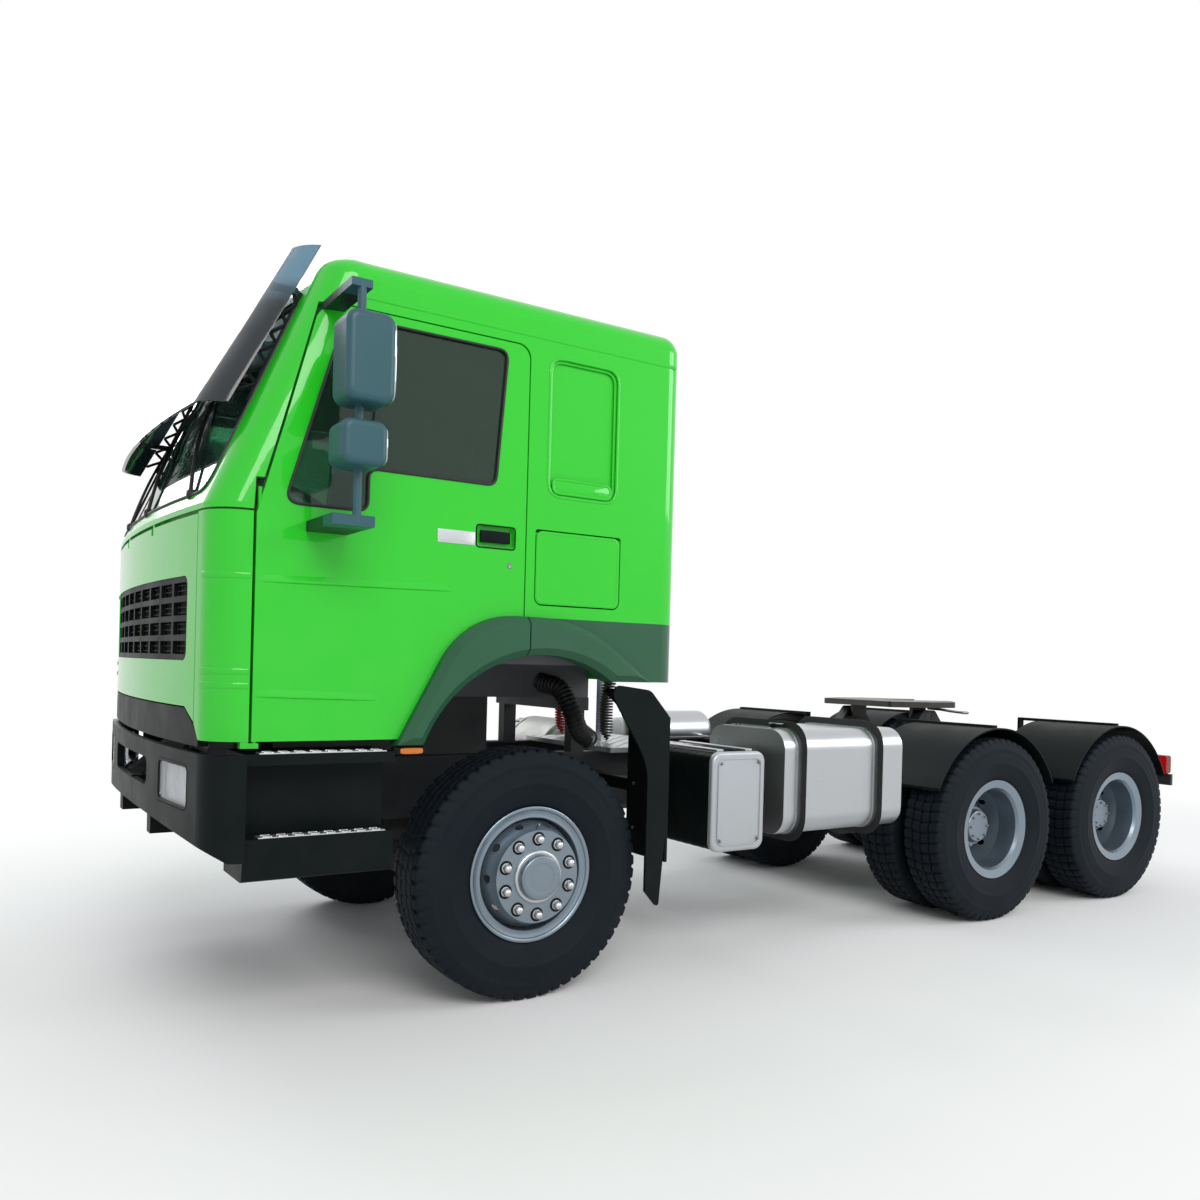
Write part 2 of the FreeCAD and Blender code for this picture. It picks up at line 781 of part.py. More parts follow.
def knuckles():
    """Stub axles that turn on the kingpins, with steering arms behind."""
    lug_low = "boss_low - lug_height - seat_play"
    lug_high = "boss_high + seat_play"
    pin = rod("kingpin", "z", "kingpin_radius", f"boss_height + 2 * (lug_height + seat_play)",
              "axle", "kingpin_y", lug_low)
    low = rod("knuckle_low", "z", "boss_radius", "lug_height", "axle", "kingpin_y", lug_low)
    high = rod("knuckle_high", "z", "boss_radius", "lug_height", "axle", "kingpin_y", lug_high)
    cheek = box("knuckle_cheek", ("axle - boss_radius", "axle + boss_radius"),
                ("kingpin_y + boss_radius + running_gap", "kingpin_y + boss_radius + 40"),
                (lug_low, f"{lug_high} + lug_height"))
    web_low = box("knuckle_web_low", ("axle - boss_radius", "axle + boss_radius"),
                  ("kingpin_y", "kingpin_y + boss_radius + 40"), (lug_low, f"{lug_low} + lug_height"))
    web_high = box("knuckle_web_high", ("axle - boss_radius", "axle + boss_radius"),
                   ("kingpin_y", "kingpin_y + boss_radius + 40"), (lug_high, f"{lug_high} + lug_height"))
    spindle = rod("spindle", "y", "spindle_radius", "kingpin_inset + twin_spacing / 2 - boss_radius - 10",
                  "axle", "kingpin_y + boss_radius + 20", "tyre_radius")
    arm = slab("steering_arm", "XY", lug_low, f"{lug_low} + 30", [
        ("axle + 20", "kingpin_y + 30"),
        ("axle - arm_reach - 32", "kingpin_y + 30", "20"),
        ("axle - arm_reach - 32", "kingpin_y - 32", "20"),
        ("axle - 20", "kingpin_y - 40"),
        ("axle + 20", "kingpin_y - 40"),
    ])
    left = fuse("knuckle_left_body", pin, low, high, cheek, web_low, web_high, spindle, arm)
    eye_pin = rod("arm_pin", "z", "12", "60", "axle - arm_reach", "kingpin_y",
                  f"{lug_low} - 30")
    whole = fuse("knuckle_pinned", left, eye_pin)
    node("knuckle_left", group("knuckle_left_set", whole))
    right_hole = rod("open_pivot_hole", "z", "16", "80", "axle - arm_reach",
                     "kingpin_y", f"{lug_low} - 40")
    node("knuckle_right", mirror("knuckle_right_mirror", cut("knuckle_right_body", left, right_hole)))


def tie_rod():
    level = "boss_low - lug_height - seat_play - 22"
    reach = "kingpin_y"
    bar = rod("tie_bar", "y", "tie_rod_radius", f"2 * ({reach}) - 60", "axle - arm_reach",
              f"30 - ({reach})", level)
    eye = cut("tie_eye_left", rod("tie_eye", "z", "34", "40", "axle - arm_reach", reach, f"{level} - 20"),
              rod("tie_eye_hole", "z", "12 + pin_play", "60", "axle - arm_reach", reach, f"{level} - 30"))
    end = rod("tie_end", "z", "34", "40", "axle - arm_reach", f"0 - ({reach})", f"{level} - 20")
    post = rod("tie_end_pin", "z", "12", "44", "axle - arm_reach", f"0 - ({reach})", f"{level} + 10")
    node("tie_rod", fuse("tie_rod_body", bar, eye, end, post))


# Frame, axles and springs

def frame_rails():
    channel = [
        ("rail_half_width - rail_flange", "rail_bottom"),
        ("rail_half_width", "rail_bottom"),
        ("rail_half_width", "rail_height"),
        ("rail_half_width - rail_flange", "rail_height"),
        ("rail_half_width - rail_flange", "rail_height - rail_web"),
        ("web_inner", "rail_height - rail_web"),
        ("web_inner", "rail_bottom + rail_web"),
        ("rail_half_width - rail_flange", "rail_bottom + rail_web"),
    ]
    rail = slab("rail", "YZ", "tail + tail_bar", "axle + rail_front", channel)
    node("frame_rails", both_sides("frame_rails_pair", rail))


def crossmembers():
    """Channels between the webs, closed by a drawbar member at the tail."""
    members = []
    stations = ["axle + 1090", "axle - 1420", "axle - 2240", "bogie_front + 310", "bogie_mid - 40",
                "bogie_rear - 200"]
    for number, station in enumerate(stations, start=1):
        depth = "rail_depth - 2 * rail_web - 2"
        channel = [
            (f"{station}", "rail_bottom + rail_web + 1"),
            (f"{station} + 78", "rail_bottom + rail_web + 1"),
            (f"{station} + 78", "rail_bottom + rail_web + 11"),
            (f"{station} + 10", "rail_bottom + rail_web + 11"),
            (f"{station} + 10", f"rail_bottom + rail_web + 1 + {depth} - 10"),
            (f"{station} + 78", f"rail_bottom + rail_web + 1 + {depth} - 10"),
            (f"{station} + 78", f"rail_bottom + rail_web + 1 + {depth}"),
            (f"{station}", f"rail_bottom + rail_web + 1 + {depth}"),
        ]
        members.append(upright(f"member_{number}", "0 - web_inner", "web_inner", channel))
    rear = box("tail_member", ("tail + tail_bar - 14", "tail + tail_bar"),
               ("0 - rail_half_width", "rail_half_width"), ("rail_bottom", "rail_height"))
    holes = [rod(f"tail_hole_{i}", "x", "8.5", "60", "tail + tail_bar - 40",
                 f"{across} * 140", f"rail_bottom + rail_depth / 2 + {up} * 45")
             for i, (across, up) in enumerate(((-1, -1), (-1, 1), (1, -1), (1, 1)))]
    bar = box("tail_bar_beam", ("tail + 10", "tail + tail_bar - 14"), ("0 - 1200", "1200"),
              ("rail_bottom + 10", "rail_bottom + tail_beam_height"))
    members.append(fuse("tail_frame", cut("tail_plate", rear, *holes), bar))
    node("crossmembers", group("crossmembers_set", *members))


def front_axle():
    """A forged beam, dropped in the middle, with bosses for the kingpins."""
    top = "tyre_radius - 20"
    half = [
        ("0", "tyre_radius - beam_drop - beam_depth"),
        ("spring_y + 60", "tyre_radius - beam_drop - beam_depth", "40"),
        ("kingpin_y - 60", "boss_low", "30"),
        ("kingpin_y", "boss_low"),
        ("kingpin_y", "boss_high"),
        ("kingpin_y - 60", "boss_high", "30"),
        ("spring_y + 60", top, "40"),
        ("spring_y - 70", top),
        ("spring_y - 110", "tyre_radius - beam_drop"),
        ("0", "tyre_radius - beam_drop"),
    ]
    beam = slab("beam_half", "YZ", "axle - beam_width / 2", "axle + beam_width / 2", half)
    boss = rod("beam_boss", "z", "boss_radius", "boss_height", "axle", "kingpin_y", "boss_low")
    bore = rod("beam_bore", "z", "kingpin_radius + pin_play", "boss_height + 40", "axle", "kingpin_y",
               "boss_low - 20")
    left = cut("beam_left", fuse("beam_with_boss", beam, boss), bore)
    return fuse("front_axle_body", left, mirror("beam_right", left))


def leaf_pack(name, centre, y, half, low, ends, thickness, hanger_top):
    """A stack of leaves: long at one face, shorter leaf by leaf to the clamped middle."""
    up = f"({ends}) - ({low})"
    corners = [
        (f"{centre} - ({half})", f"{ends}"),
        (f"{centre} - ({half}) * 0.5", f"({low}) + ({up}) * 0.25"),
        (f"{centre} - 90", low),
        (f"{centre} + 90", low),
        (f"{centre} + ({half}) * 0.5", f"({low}) + ({up}) * 0.25"),
        (f"{centre} + ({half})", f"{ends}"),
        (f"{centre} + ({half})", f"({ends}) + 20"),
        (f"{centre} + ({half}) * 0.55", f"({low}) + ({up}) * 0.3 + ({thickness}) * 0.55"),
        (f"{centre} + 90", f"({low}) + ({thickness})"),
        (f"{centre} - 90", f"({low}) + ({thickness})"),
        (f"{centre} - ({half}) * 0.55", f"({low}) + ({up}) * 0.3 + ({thickness}) * 0.55"),
        (f"{centre} - ({half})", f"({ends}) + 20"),
    ]
    return upright(name, f"({y}) - spring_width / 2", f"({y}) + spring_width / 2", corners)


def springs():
    seat = "tyre_radius - 20"
    pack = leaf_pack("front_leaves", "axle", "spring_y", "front_spring_half", seat, "rail_bottom - 62",
                     "70", "rail_bottom")
    hangers = []
    for number, sign in enumerate(("-", "+"), start=1):
        hangers.append(box(f"front_hanger_{number}",
                           (f"axle {sign} front_spring_half - 40", f"axle {sign} front_spring_half + 40"),
                           ("spring_y - 45", "spring_y + 45"), ("rail_bottom - 90", "rail_bottom")))
    front = fuse("front_spring", pack, *hangers)
    axle_top = "tyre_radius + axle_tube"
    rear = leaf_pack("bogie_leaves", "bogie_mid", "rear_spring_y", "rear_spring_half",
                     axle_top + " + 40", axle_top, "110", "rail_bottom")
    trunnion = box("bogie_trunnion", ("bogie_mid - 110", "bogie_mid + 110"),
                   ("rail_half_width", "rear_spring_y + spring_width / 2"),
                   (axle_top + " - 150", axle_top + " + 60"))
    cheek = box("bogie_cheek", ("bogie_mid - 150", "bogie_mid + 150"),
                ("rail_half_width", "rail_half_width + 30"), (axle_top + " - 150", "rail_bottom + 180"))
    back = fuse("bogie_spring", rear, trunnion, cheek)
    node("springs", both_sides("springs_pair", group("springs_left", front, back)))


def rear_axles():
    cases = []
    for number, centre in ((1, "bogie_front"), (2, "bogie_rear")):
        tube = rod(f"axle_tube_{number}", "y", "axle_tube", "rear_track - 64", centre, "32 - rear_track / 2",
                   "tyre_radius")
        stub = rod(f"axle_stub_{number}", "y", "spindle_radius", "rear_track + 2 * twin_hub + 20", centre,
                   "0 - rear_track / 2 - twin_hub - 10", "tyre_radius")
        case = rod(f"diff_{number}", "x", "diff_radius", "220", f"{centre} - 110", "0", "tyre_radius + 10")
        nose = rod(f"diff_nose_{number}", "x", "120", "230", f"{centre} + 60", "0", "shaft_height - 40")
        seat = box(f"spring_seat_{number}", (f"{centre} - 60", f"{centre} + 60"),
                   ("rear_spring_y - 45", "rear_spring_y + 45"),
                   ("tyre_radius", "tyre_radius + axle_tube"))
        seats = both_sides(f"spring_seats_{number}", seat)
        drum = rod(f"brake_drum_{number}", "y", "drum_radius", "drum_width", centre,
                   "rear_track / 2 - 32 - drum_width", "tyre_radius")
        drums = both_sides(f"brake_drums_{number}", drum)
        cases.append(fuse(f"axle_case_{number}", tube, stub, case, nose, seats, drums))
    return group("rear_axles_set", *cases)


def drivetrain():
    """Engine block, gearbox and the shafts to both driven axles."""
    block = upright("engine_block", "0 - engine_half_width", "engine_half_width", [
        ("axle - engine_rear", "engine_bottom + 90"),
        ("axle + 60", "engine_bottom + 90", "30"),
        ("axle + 180", "engine_bottom", "30"),
        ("axle + engine_front - 60", "engine_bottom", "30"),
        ("axle + engine_front", "engine_bottom + 140", "30"),
        ("axle + engine_front", "engine_top", "40"),
        ("axle - engine_rear", "engine_top", "40"),
    ])
    feet = [box(f"engine_foot_{i}", (f"axle + {x}", f"axle + {x} + 120"),
                ("0 - web_inner", "web_inner"), ("rail_height - 160", "rail_height - 100"))
            for i, x in enumerate(("40", "engine_front - 200"), start=1)]
    gearbox = upright("gearbox_case", "0 - gearbox_half_width", "gearbox_half_width", [
        ("axle - engine_rear", "shaft_height - 180"),
        ("axle - engine_rear", "shaft_height + 260", "40"),
        ("axle - gearbox_rear + 200", "shaft_height + 200", "60"),
        ("axle - gearbox_rear", "shaft_height + 120"),
        ("axle - gearbox_rear", "shaft_height - 120"),
        ("axle - gearbox_rear + 300", "shaft_height - 180", "60"),
    ])
    unit = fuse("power_unit", block, gearbox, *feet)
    main = rod("main_shaft", "x", "shaft_radius", "wheelbase - gearbox_rear - 290", "bogie_front + 290",
               "0", "shaft_height")
    through = rod("through_shaft", "x", "shaft_radius", "bogie_spread - 400", "bogie_rear + 290",
                  "0", "shaft_height")
    node("drivetrain", group("drivetrain_set", unit, main, through, radiator()))


def radiator():
    core = box("radiator_core", ("axle + radiator_front - radiator_depth", "axle + radiator_front"),
               ("0 - radiator_half_width", "radiator_half_width"),
               ("rail_height", "radiator_top"))
    tanks = [box(f"radiator_tank_{i}", ("axle + radiator_front - radiator_depth - 20", "axle + radiator_front + 12"),
                 (low, high), ("rail_height", "radiator_top + 20"))
             for i, (low, high) in enumerate((("0 - radiator_half_width - 30", "50 - radiator_half_width"),
                                              ("radiator_half_width - 50", "radiator_half_width + 30")))]
    return fuse("radiator_body", core, *tanks)


# Bumper, steps and what hangs on the frame

def bumper():
    outer = nose_band("bumper_outer", "0", "bumper_bottom", "bumper_top", "bumper_nose", "bumper_half_width")
    inner = nose_band("bumper_inner", "bumper_wall", "bumper_bottom - 20", "bumper_top + 20", "bumper_nose",
                      "bumper_half_width")
    profile = upright("bumper_profile", "0 - bumper_half_width - 20", "bumper_half_width + 20", [
        ("axle + bumper_rear", "bumper_bottom"),
        ("axle + bumper_rear + 60", "bumper_bottom"),
        ("axle + bumper_nose + 40", "bumper_front_bottom"),
        ("axle + bumper_nose + 40", "bumper_top"),
        ("axle + bumper_rear", "bumper_top"),
    ])
    skin = common("bumper_skin", cut("bumper_ring", outer, inner), profile)
    intake = front_view("bumper_intake", wide_rect("0 - 420", "420", "bumper_top - 190", "bumper_top - 70", "40"))
    openings = [intake]
    for side, sign in (("left", ""), ("right", "0 - ")):
        low, high = ("610", "1000") if side == "left" else ("0 - 1000", "0 - 610")
        openings.append(front_view(f"lamp_opening_{side}", wide_rect(low, high, "bumper_bottom + 170",
                                                                     "bumper_bottom + 350", "36")))
    stays = both_sides("bumper_stays", box(
        "bumper_stay", ("axle + rail_front", "axle + bumper_nose - bumper_wall"),
        ("rail_half_width - rail_flange", "rail_half_width"), ("rail_bottom + 2", "rail_bottom + 84")))
    pin = rod("tow_pin_hole", "z", "21", "bumper_top", "axle + bumper_nose - bumper_wall - 32", "0", "bumper_bottom")
    tow = box("tow_jaw", ("axle + bumper_nose - bumper_wall - 80", "axle + bumper_nose - 8"), ("0 - 60", "60"),
              ("bumper_front_bottom + 10", "bumper_front_bottom + 90"))
    skin_open = cut("bumper_open", skin, *openings)
    node("bumper", cut("bumper_body", fuse("bumper_whole", skin_open, stays, tow), pin))


def lamp_shell(name, inset, depth):
    outer = nose_band(name + "_outer", inset, "bumper_bottom", "bumper_top", "bumper_nose", "bumper_half_width")
    inner = nose_band(name + "_inner", f"{inset} + {depth}", "bumper_bottom - 20", "bumper_top + 20",
                      "bumper_nose", "bumper_half_width")
    return cut(name, outer, inner)


def front_lamps():
    shell = lamp_shell("lamp_ring", "6", "50")
    lens = front_view("lamp_block", wide_rect("610 + seat_play", "1000 - seat_play",
                                              "bumper_bottom + 170 + seat_play",
                                              "bumper_bottom + 350 - seat_play", "36"))
    return both_sides("front_lamps_pair", common("front_lamp", shell, lens))


def steps():
    """Two treads under the door, drawn as one stepped section."""
    section = [
        ("step_inner", "step_bottom"),
        ("step_outer - 24", "step_bottom", "20"),
        ("step_outer", "step_low"),
        ("step_outer - step_recess", "step_low"),
        ("step_outer - step_recess + 12", "step_top - step_slab"),
        ("step_outer - 8", "step_top - step_slab"),
        ("step_outer - 8", "step_top"),
        ("step_inner", "step_top"),
    ]
    box_body = slab("step_box", "YZ", "axle + step_rear", "axle + bumper_rear", section)
    arm = box("step_arm", ("axle + step_rear + 200", "axle + step_rear + 300"),
              ("rail_half_width", "step_inner"), ("rail_bottom + 60", "rail_bottom + 160"))
    node("steps", both_sides("steps_pair", fuse("step_unit", box_body, arm)))


def front_mudguards():
    """Rear half guards behind the steered wheels: a side web and a back web."""
    side = upright("mudguard_side", "mudguard_outer - mudguard_wall", "mudguard_outer", [
        ("axle - mudguard_inner_edge", "mudguard_bottom + 90"),
        ("axle - mudguard_inner_edge", "tyre_radius + 480", "300"),
        ("axle - 330", "mudguard_top + 30", "40"),
        ("axle - mudguard_rear + 120", "mudguard_top", "60"),
        ("axle - mudguard_rear", "mudguard_top - 130", "60"),
        ("axle - mudguard_rear", "tyre_radius + 300"),
        ("axle - mudguard_rear + 45", "mudguard_bottom", "12"),
    ])
    back = upright("mudguard_back", "mudguard_inner", "mudguard_outer", [
        ("axle - mudguard_rear + mudguard_wall", "mudguard_bottom + 220"),
        ("axle - mudguard_rear + mudguard_wall", "mudguard_top - 150"),
        ("axle - mudguard_rear + 170", "mudguard_top - 16"),
        ("axle - mudguard_rear + 150", "mudguard_top"),
        ("axle - mudguard_rear", "mudguard_top - 130"),
        ("axle - mudguard_rear", "mudguard_bottom + 220"),
    ])
    arm = box("mudguard_arm", ("axle - mudguard_rear - 60", "axle - mudguard_rear"),
              ("rail_half_width", "mudguard_outer - 80"), ("rail_height - 160", "rail_height - 100"))
    return both_sides("front_mudguards_pair", fuse("mudguard", side, back, arm))


def battery_box():
    case = slab("battery_case", "XZ", "battery_inner", "battery_outer - 30", wide_rect(
        "axle - battery_rear + 12", "axle - battery_front - 12", "battery_bottom + 12", "battery_top - 12", "30"))
    cover = softened("battery_cover_soft", slab("battery_cover", "XZ", "battery_outer - 30", "battery_outer", wide_rect(
        "axle - battery_rear", "axle - battery_front", "battery_bottom", "battery_top", "55")), "16",
        lambda span: span.YMin > value("battery_outer") - 1)
    arms = [box(f"battery_arm_{i}", (f"axle - {x} - 60", f"axle - {x}"), ("rail_half_width", "battery_inner + 40"),
                ("rail_bottom + 60", "rail_height - 60"))
            for i, x in enumerate(("battery_front - 50", "battery_rear + 110"))]
    node("battery_box", fuse("battery_box_body", case, cover, *arms))


def fuel_tank():
    shell = slab("tank_shell", "YZ", "axle - tank_rear", "axle - tank_front", wide_rect(
        "tank_inner", "tank_outer", "tank_bottom", "tank_top", "tank_corner"))
    cap = rod("tank_cap", "z", "55", "28", "axle - tank_front - 130", "tank_outer - 190", "tank_top")
    straps = []
    for number, x in enumerate(("tank_front + 90", "tank_rear - 235"), start=1):
        outer = wide_rect("tank_inner - strap_thickness", "tank_outer + strap_thickness",
                          "tank_bottom - strap_thickness", "tank_top + strap_thickness",
                          "tank_corner + strap_thickness")
        inner = wide_rect("tank_inner + 20", "tank_outer - 20", "tank_bottom + 20", "tank_top - 20", "tank_corner")
        strap = slab(f"tank_strap_{number}", "YZ", f"axle - ({x}) - strap_width", f"axle - ({x})", outer, inner)
        arm = box(f"tank_arm_{number}", (f"axle - ({x}) - strap_width", f"axle - ({x})"),
                  ("rail_half_width", "tank_inner - strap_thickness"), ("rail_bottom", "rail_height"))
        straps.append(fuse(f"tank_holder_{number}", strap, arm))
    node("fuel_tank", fuse("fuel_tank_body", shell, cap, *straps))


def right_side_units():
    """Silencer and air tanks on the right rail."""
    can = softened("silencer_soft", rod("silencer_can", "y", "silencer_radius", "560", "axle - silencer_front - 300",
                                        "0 - 1150", "rail_bottom + 150"), "40", lambda span: span.YLength < 1)
    arm = box("silencer_arm", ("axle - silencer_front - 360", "axle - silencer_front - 240"),
              ("0 - 640", "0 - rail_half_width"), ("rail_bottom + 60", "rail_bottom + 220"))
    node("exhaust", fuse("exhaust_body", can, arm))
    tanks = []
    for number, x in enumerate(("axle - 2380", "axle - 2380"), start=1):
        level = "rail_bottom + 30" if number == 1 else "rail_bottom + 30 + 2 * air_tank_radius + 20"
        can = rod(f"air_tank_{number}", "x", "air_tank_radius", "740", x, "0 - 640", level)
        tanks.append(softened(f"air_tank_soft_{number}", can, "60", lambda span: span.XLength < 1))
    hooks = [box(f"air_tank_hook_{i}", (f"axle - {x} - 40", f"axle - {x}"), ("0 - 640", "0 - rail_half_width"),
                 ("rail_bottom", "rail_height")) for i, x in enumerate(("1760", "2240"))]
    node("air_tanks", fuse("air_tanks_body", *tanks, *hooks))


def catwalk():
    plate = box("deck_plate", ("axle - deck_rear", "axle - deck_front"), ("0 - 400", "540"),
                ("rail_height", "rail_height + deck_thickness"))
    post = box("hose_post", ("axle - deck_front - 320", "axle - deck_front - 270"), ("0 - 30", "30"),
               ("rail_height", "1650"))
    bar = rod("hose_bar", "y", "22", "760", "axle - deck_front - 295", "0 - 380", "1650")
    node("catwalk", fuse("catwalk_body", plate, post, bar))


def cab_mounts():
    """Front pivot brackets and the rear hoop that the cab rests on."""
    inner_face = "underframe_half_width - underframe_width / 2 - running_gap"
    outer_face = "underframe_half_width + underframe_width / 2 + running_gap"
    ears = []
    for number, (low, high) in enumerate(((f"{inner_face} - 34", inner_face),
                                          (outer_face, f"{outer_face} + 34")), start=1):
        ears.append(slab(f"pivot_ear_{number}", "XZ", low, high, [
            ("axle + rail_front + 16", "pivot_z - 70"),
            ("pivot_x - 20", "pivot_z - 42", "20"),
            ("pivot_x + 38", "pivot_z - 42", "30"),
            ("pivot_x + 38", "pivot_z + 42", "30"),
            ("pivot_x - 42", "pivot_z + 42", "30"),
            ("axle + rail_front + 16", "rail_height - 35"),
        ]))
    base = box("pivot_base", ("axle + rail_front", "axle + rail_front + 16"),
               (f"{inner_face} - 34", f"{outer_face} + 34"), ("rail_bottom + 90", "rail_height - 35"))
    pin = rod("pivot_pin", "y", "20", "underframe_width + 2 * running_gap + 68", "pivot_x", f"{inner_face} - 34",
              "pivot_z")
    front = fuse("pivot_mount", *ears, base, pin)
    hoop = fuse("rear_hoop",
                box("hoop_post", ("axle - 700", "axle - 620"), ("rail_half_width - 70", "rail_half_width"),
                    ("rail_height", "underframe_height - seat_play")),
                box("hoop_head", ("axle - 700", "axle - 620"), ("0", "underframe_half_width + 45"),
                    ("underframe_height - 70", "underframe_height - seat_play")))
    node("cab_mounts", group("cab_mounts_set", both_sides("pivot_mounts", front),
                             fuse("rear_hoops", hoop, mirror("hoop_right", hoop))))


def rear_mudguards():
    guards = []
    for number, centre in ((1, "bogie_front"), (2, "bogie_rear")):
        outer = rod(f"guard_outer_{number}", "y", "tyre_radius + 62", "620", centre, "600", "tyre_radius")
        inner = rod(f"guard_inner_{number}", "y", "tyre_radius + 54", "660", centre, "580", "tyre_radius")
        keep = box(f"guard_keep_{number}", (f"{centre} - 560", f"{centre} + 560"), ("580", "1240"),
                   ("tyre_radius + 260", "tyre_radius + 700"))
        shell = common(f"guard_{number}", cut(f"guard_ring_{number}", outer, inner), keep)
        arm = box(f"guard_arm_{number}", (f"{centre} - 22", f"{centre} + 22"), ("rail_half_width", "1180"),
                  ("2 * tyre_radius + 56", "2 * tyre_radius + 76"))
        post = box(f"guard_post_{number}", (f"{centre} - 22", f"{centre} + 22"),
                   ("rail_half_width", "rail_half_width + 22"), ("rail_height - 160", "2 * tyre_radius + 76"))
        guards.append(fuse(f"guard_whole_{number}", shell, arm, post))
    return both_sides("rear_mudguards_pair", group("rear_mudguards_left", *guards))


def tail_lamps():
    lamp = slab("tail_lamp_block", "YZ", "tail", "tail + 60", wide_rect("820", "1180", "rail_bottom + tail_beam_height",
                                                                        "rail_bottom + 225", "20"))
    return both_sides("tail_lamps_pair", lamp)


def fifth_wheel():
    centre = "bogie_mid + coupling_ahead"
    pivot = "coupling_height - trunnion_drop"
    base = box("coupling_base", (f"{centre} - 330", f"{centre} + 330"),
               ("0 - rail_half_width - 30", "rail_half_width + 30"), ("rail_height", "rail_height + base_thickness"))
    stand = slab("coupling_stand", "XZ", "300", "380", [
        (f"{centre} - 230", "rail_height + base_thickness"),
        (f"{centre} + 230", "rail_height + base_thickness"),
        (f"{centre} + 60", f"{pivot} + 36", "40"),
        (f"{centre} - 60", f"{pivot} + 36", "40"),
    ])
    bore = rod("stand_bore", "y", "trunnion_radius + pin_play", "140", centre, "270", pivot)
    stands = both_sides("coupling_stands", cut("coupling_stand_open", stand, bore))
    node("fifth_wheel_base", fuse("coupling_base_body", base, stands))
    plate = slab("coupling_plate", "XY", "coupling_height - plate_thickness", "coupling_height", [
        (f"{centre} + plate_front", "0 - plate_half_width + 120", "40"),
        (f"{centre} + plate_front", "plate_half_width - 120", "40"),
        (f"{centre} + 60", "plate_half_width", "120"),
        (f"{centre} - 220", "plate_half_width - 10", "90"),
        (f"{centre} - plate_rear", "throat_width / 2 + 40", "30"),
        (f"{centre} - plate_rear", "throat_width / 2", "8"),
        (f"{centre} - 60", "jaw_radius"),
        (f"{centre}", "jaw_radius"),
        (f"{centre}", "0 - jaw_radius"),
        (f"{centre} - 60", "0 - jaw_radius"),
        (f"{centre} - plate_rear", "0 - throat_width / 2", "8"),
        (f"{centre} - plate_rear", "0 - throat_width / 2 - 40", "30"),
        (f"{centre} - 220", "10 - plate_half_width", "90"),
        (f"{centre} + 60", "0 - plate_half_width", "120"),
    ])
    jaw = rod("jaw_bore", "z", "jaw_radius", "120", centre, "0", "coupling_height - 100")
    ribs = both_sides("coupling_ribs", fuse("coupling_rib",
        box("coupling_rib_in", (f"{centre} - 70", f"{centre} + 70"), ("262", "292"),
            (f"{pivot} - 40", "coupling_height - plate_thickness")),
        rod("coupling_pin", "y", "trunnion_radius", "108", centre, "270", pivot)))
    node("fifth_wheel_plate", cut("coupling_plate_body", fuse("coupling_top", plate, ribs), jaw))


# Cab

def cab_shell():
    outer = envelope("cab_outer", "0", "cab_bottom - 60")
    inner = envelope("cab_inner", "cab_wall", "cab_bottom - 100")
    return cut("cab_shell", outer, inner)


SHELL = cab_shell()
NOSE_SKIN = cut("nose_skin", nose_band("nose_skin_out", "0", "trim_bottom", "cowl_height", "cab_nose",
                                       "cab_half_width"),
                nose_band("nose_skin_in", "flap_thickness", "trim_bottom - 20", "cowl_height + 20", "cab_nose",
                          "cab_half_width"))
CORNER_SKIN = cut("corner_skin", nose_band("corner_skin_out", "0", "trim_bottom", "cowl_height", "cab_nose",
                                           "cab_half_width"),
                  nose_band("corner_skin_in", "flap_thickness + running_gap - seat_play", "trim_bottom - 20",
                            "cowl_height + 20", "cab_nose", "cab_half_width"))
GLASS = cut("glass_skin", envelope("glass_outer", "glass_inset", "cab_bottom"),
            envelope("glass_inner", "glass_inset + glass_thickness", "cab_bottom - 20"))


def arch_cylinder(name):
    return rod(name, "y", "arch_radius", "flare_outer * 2 + 200", "axle", "0 - flare_outer - 100", "arch_height")


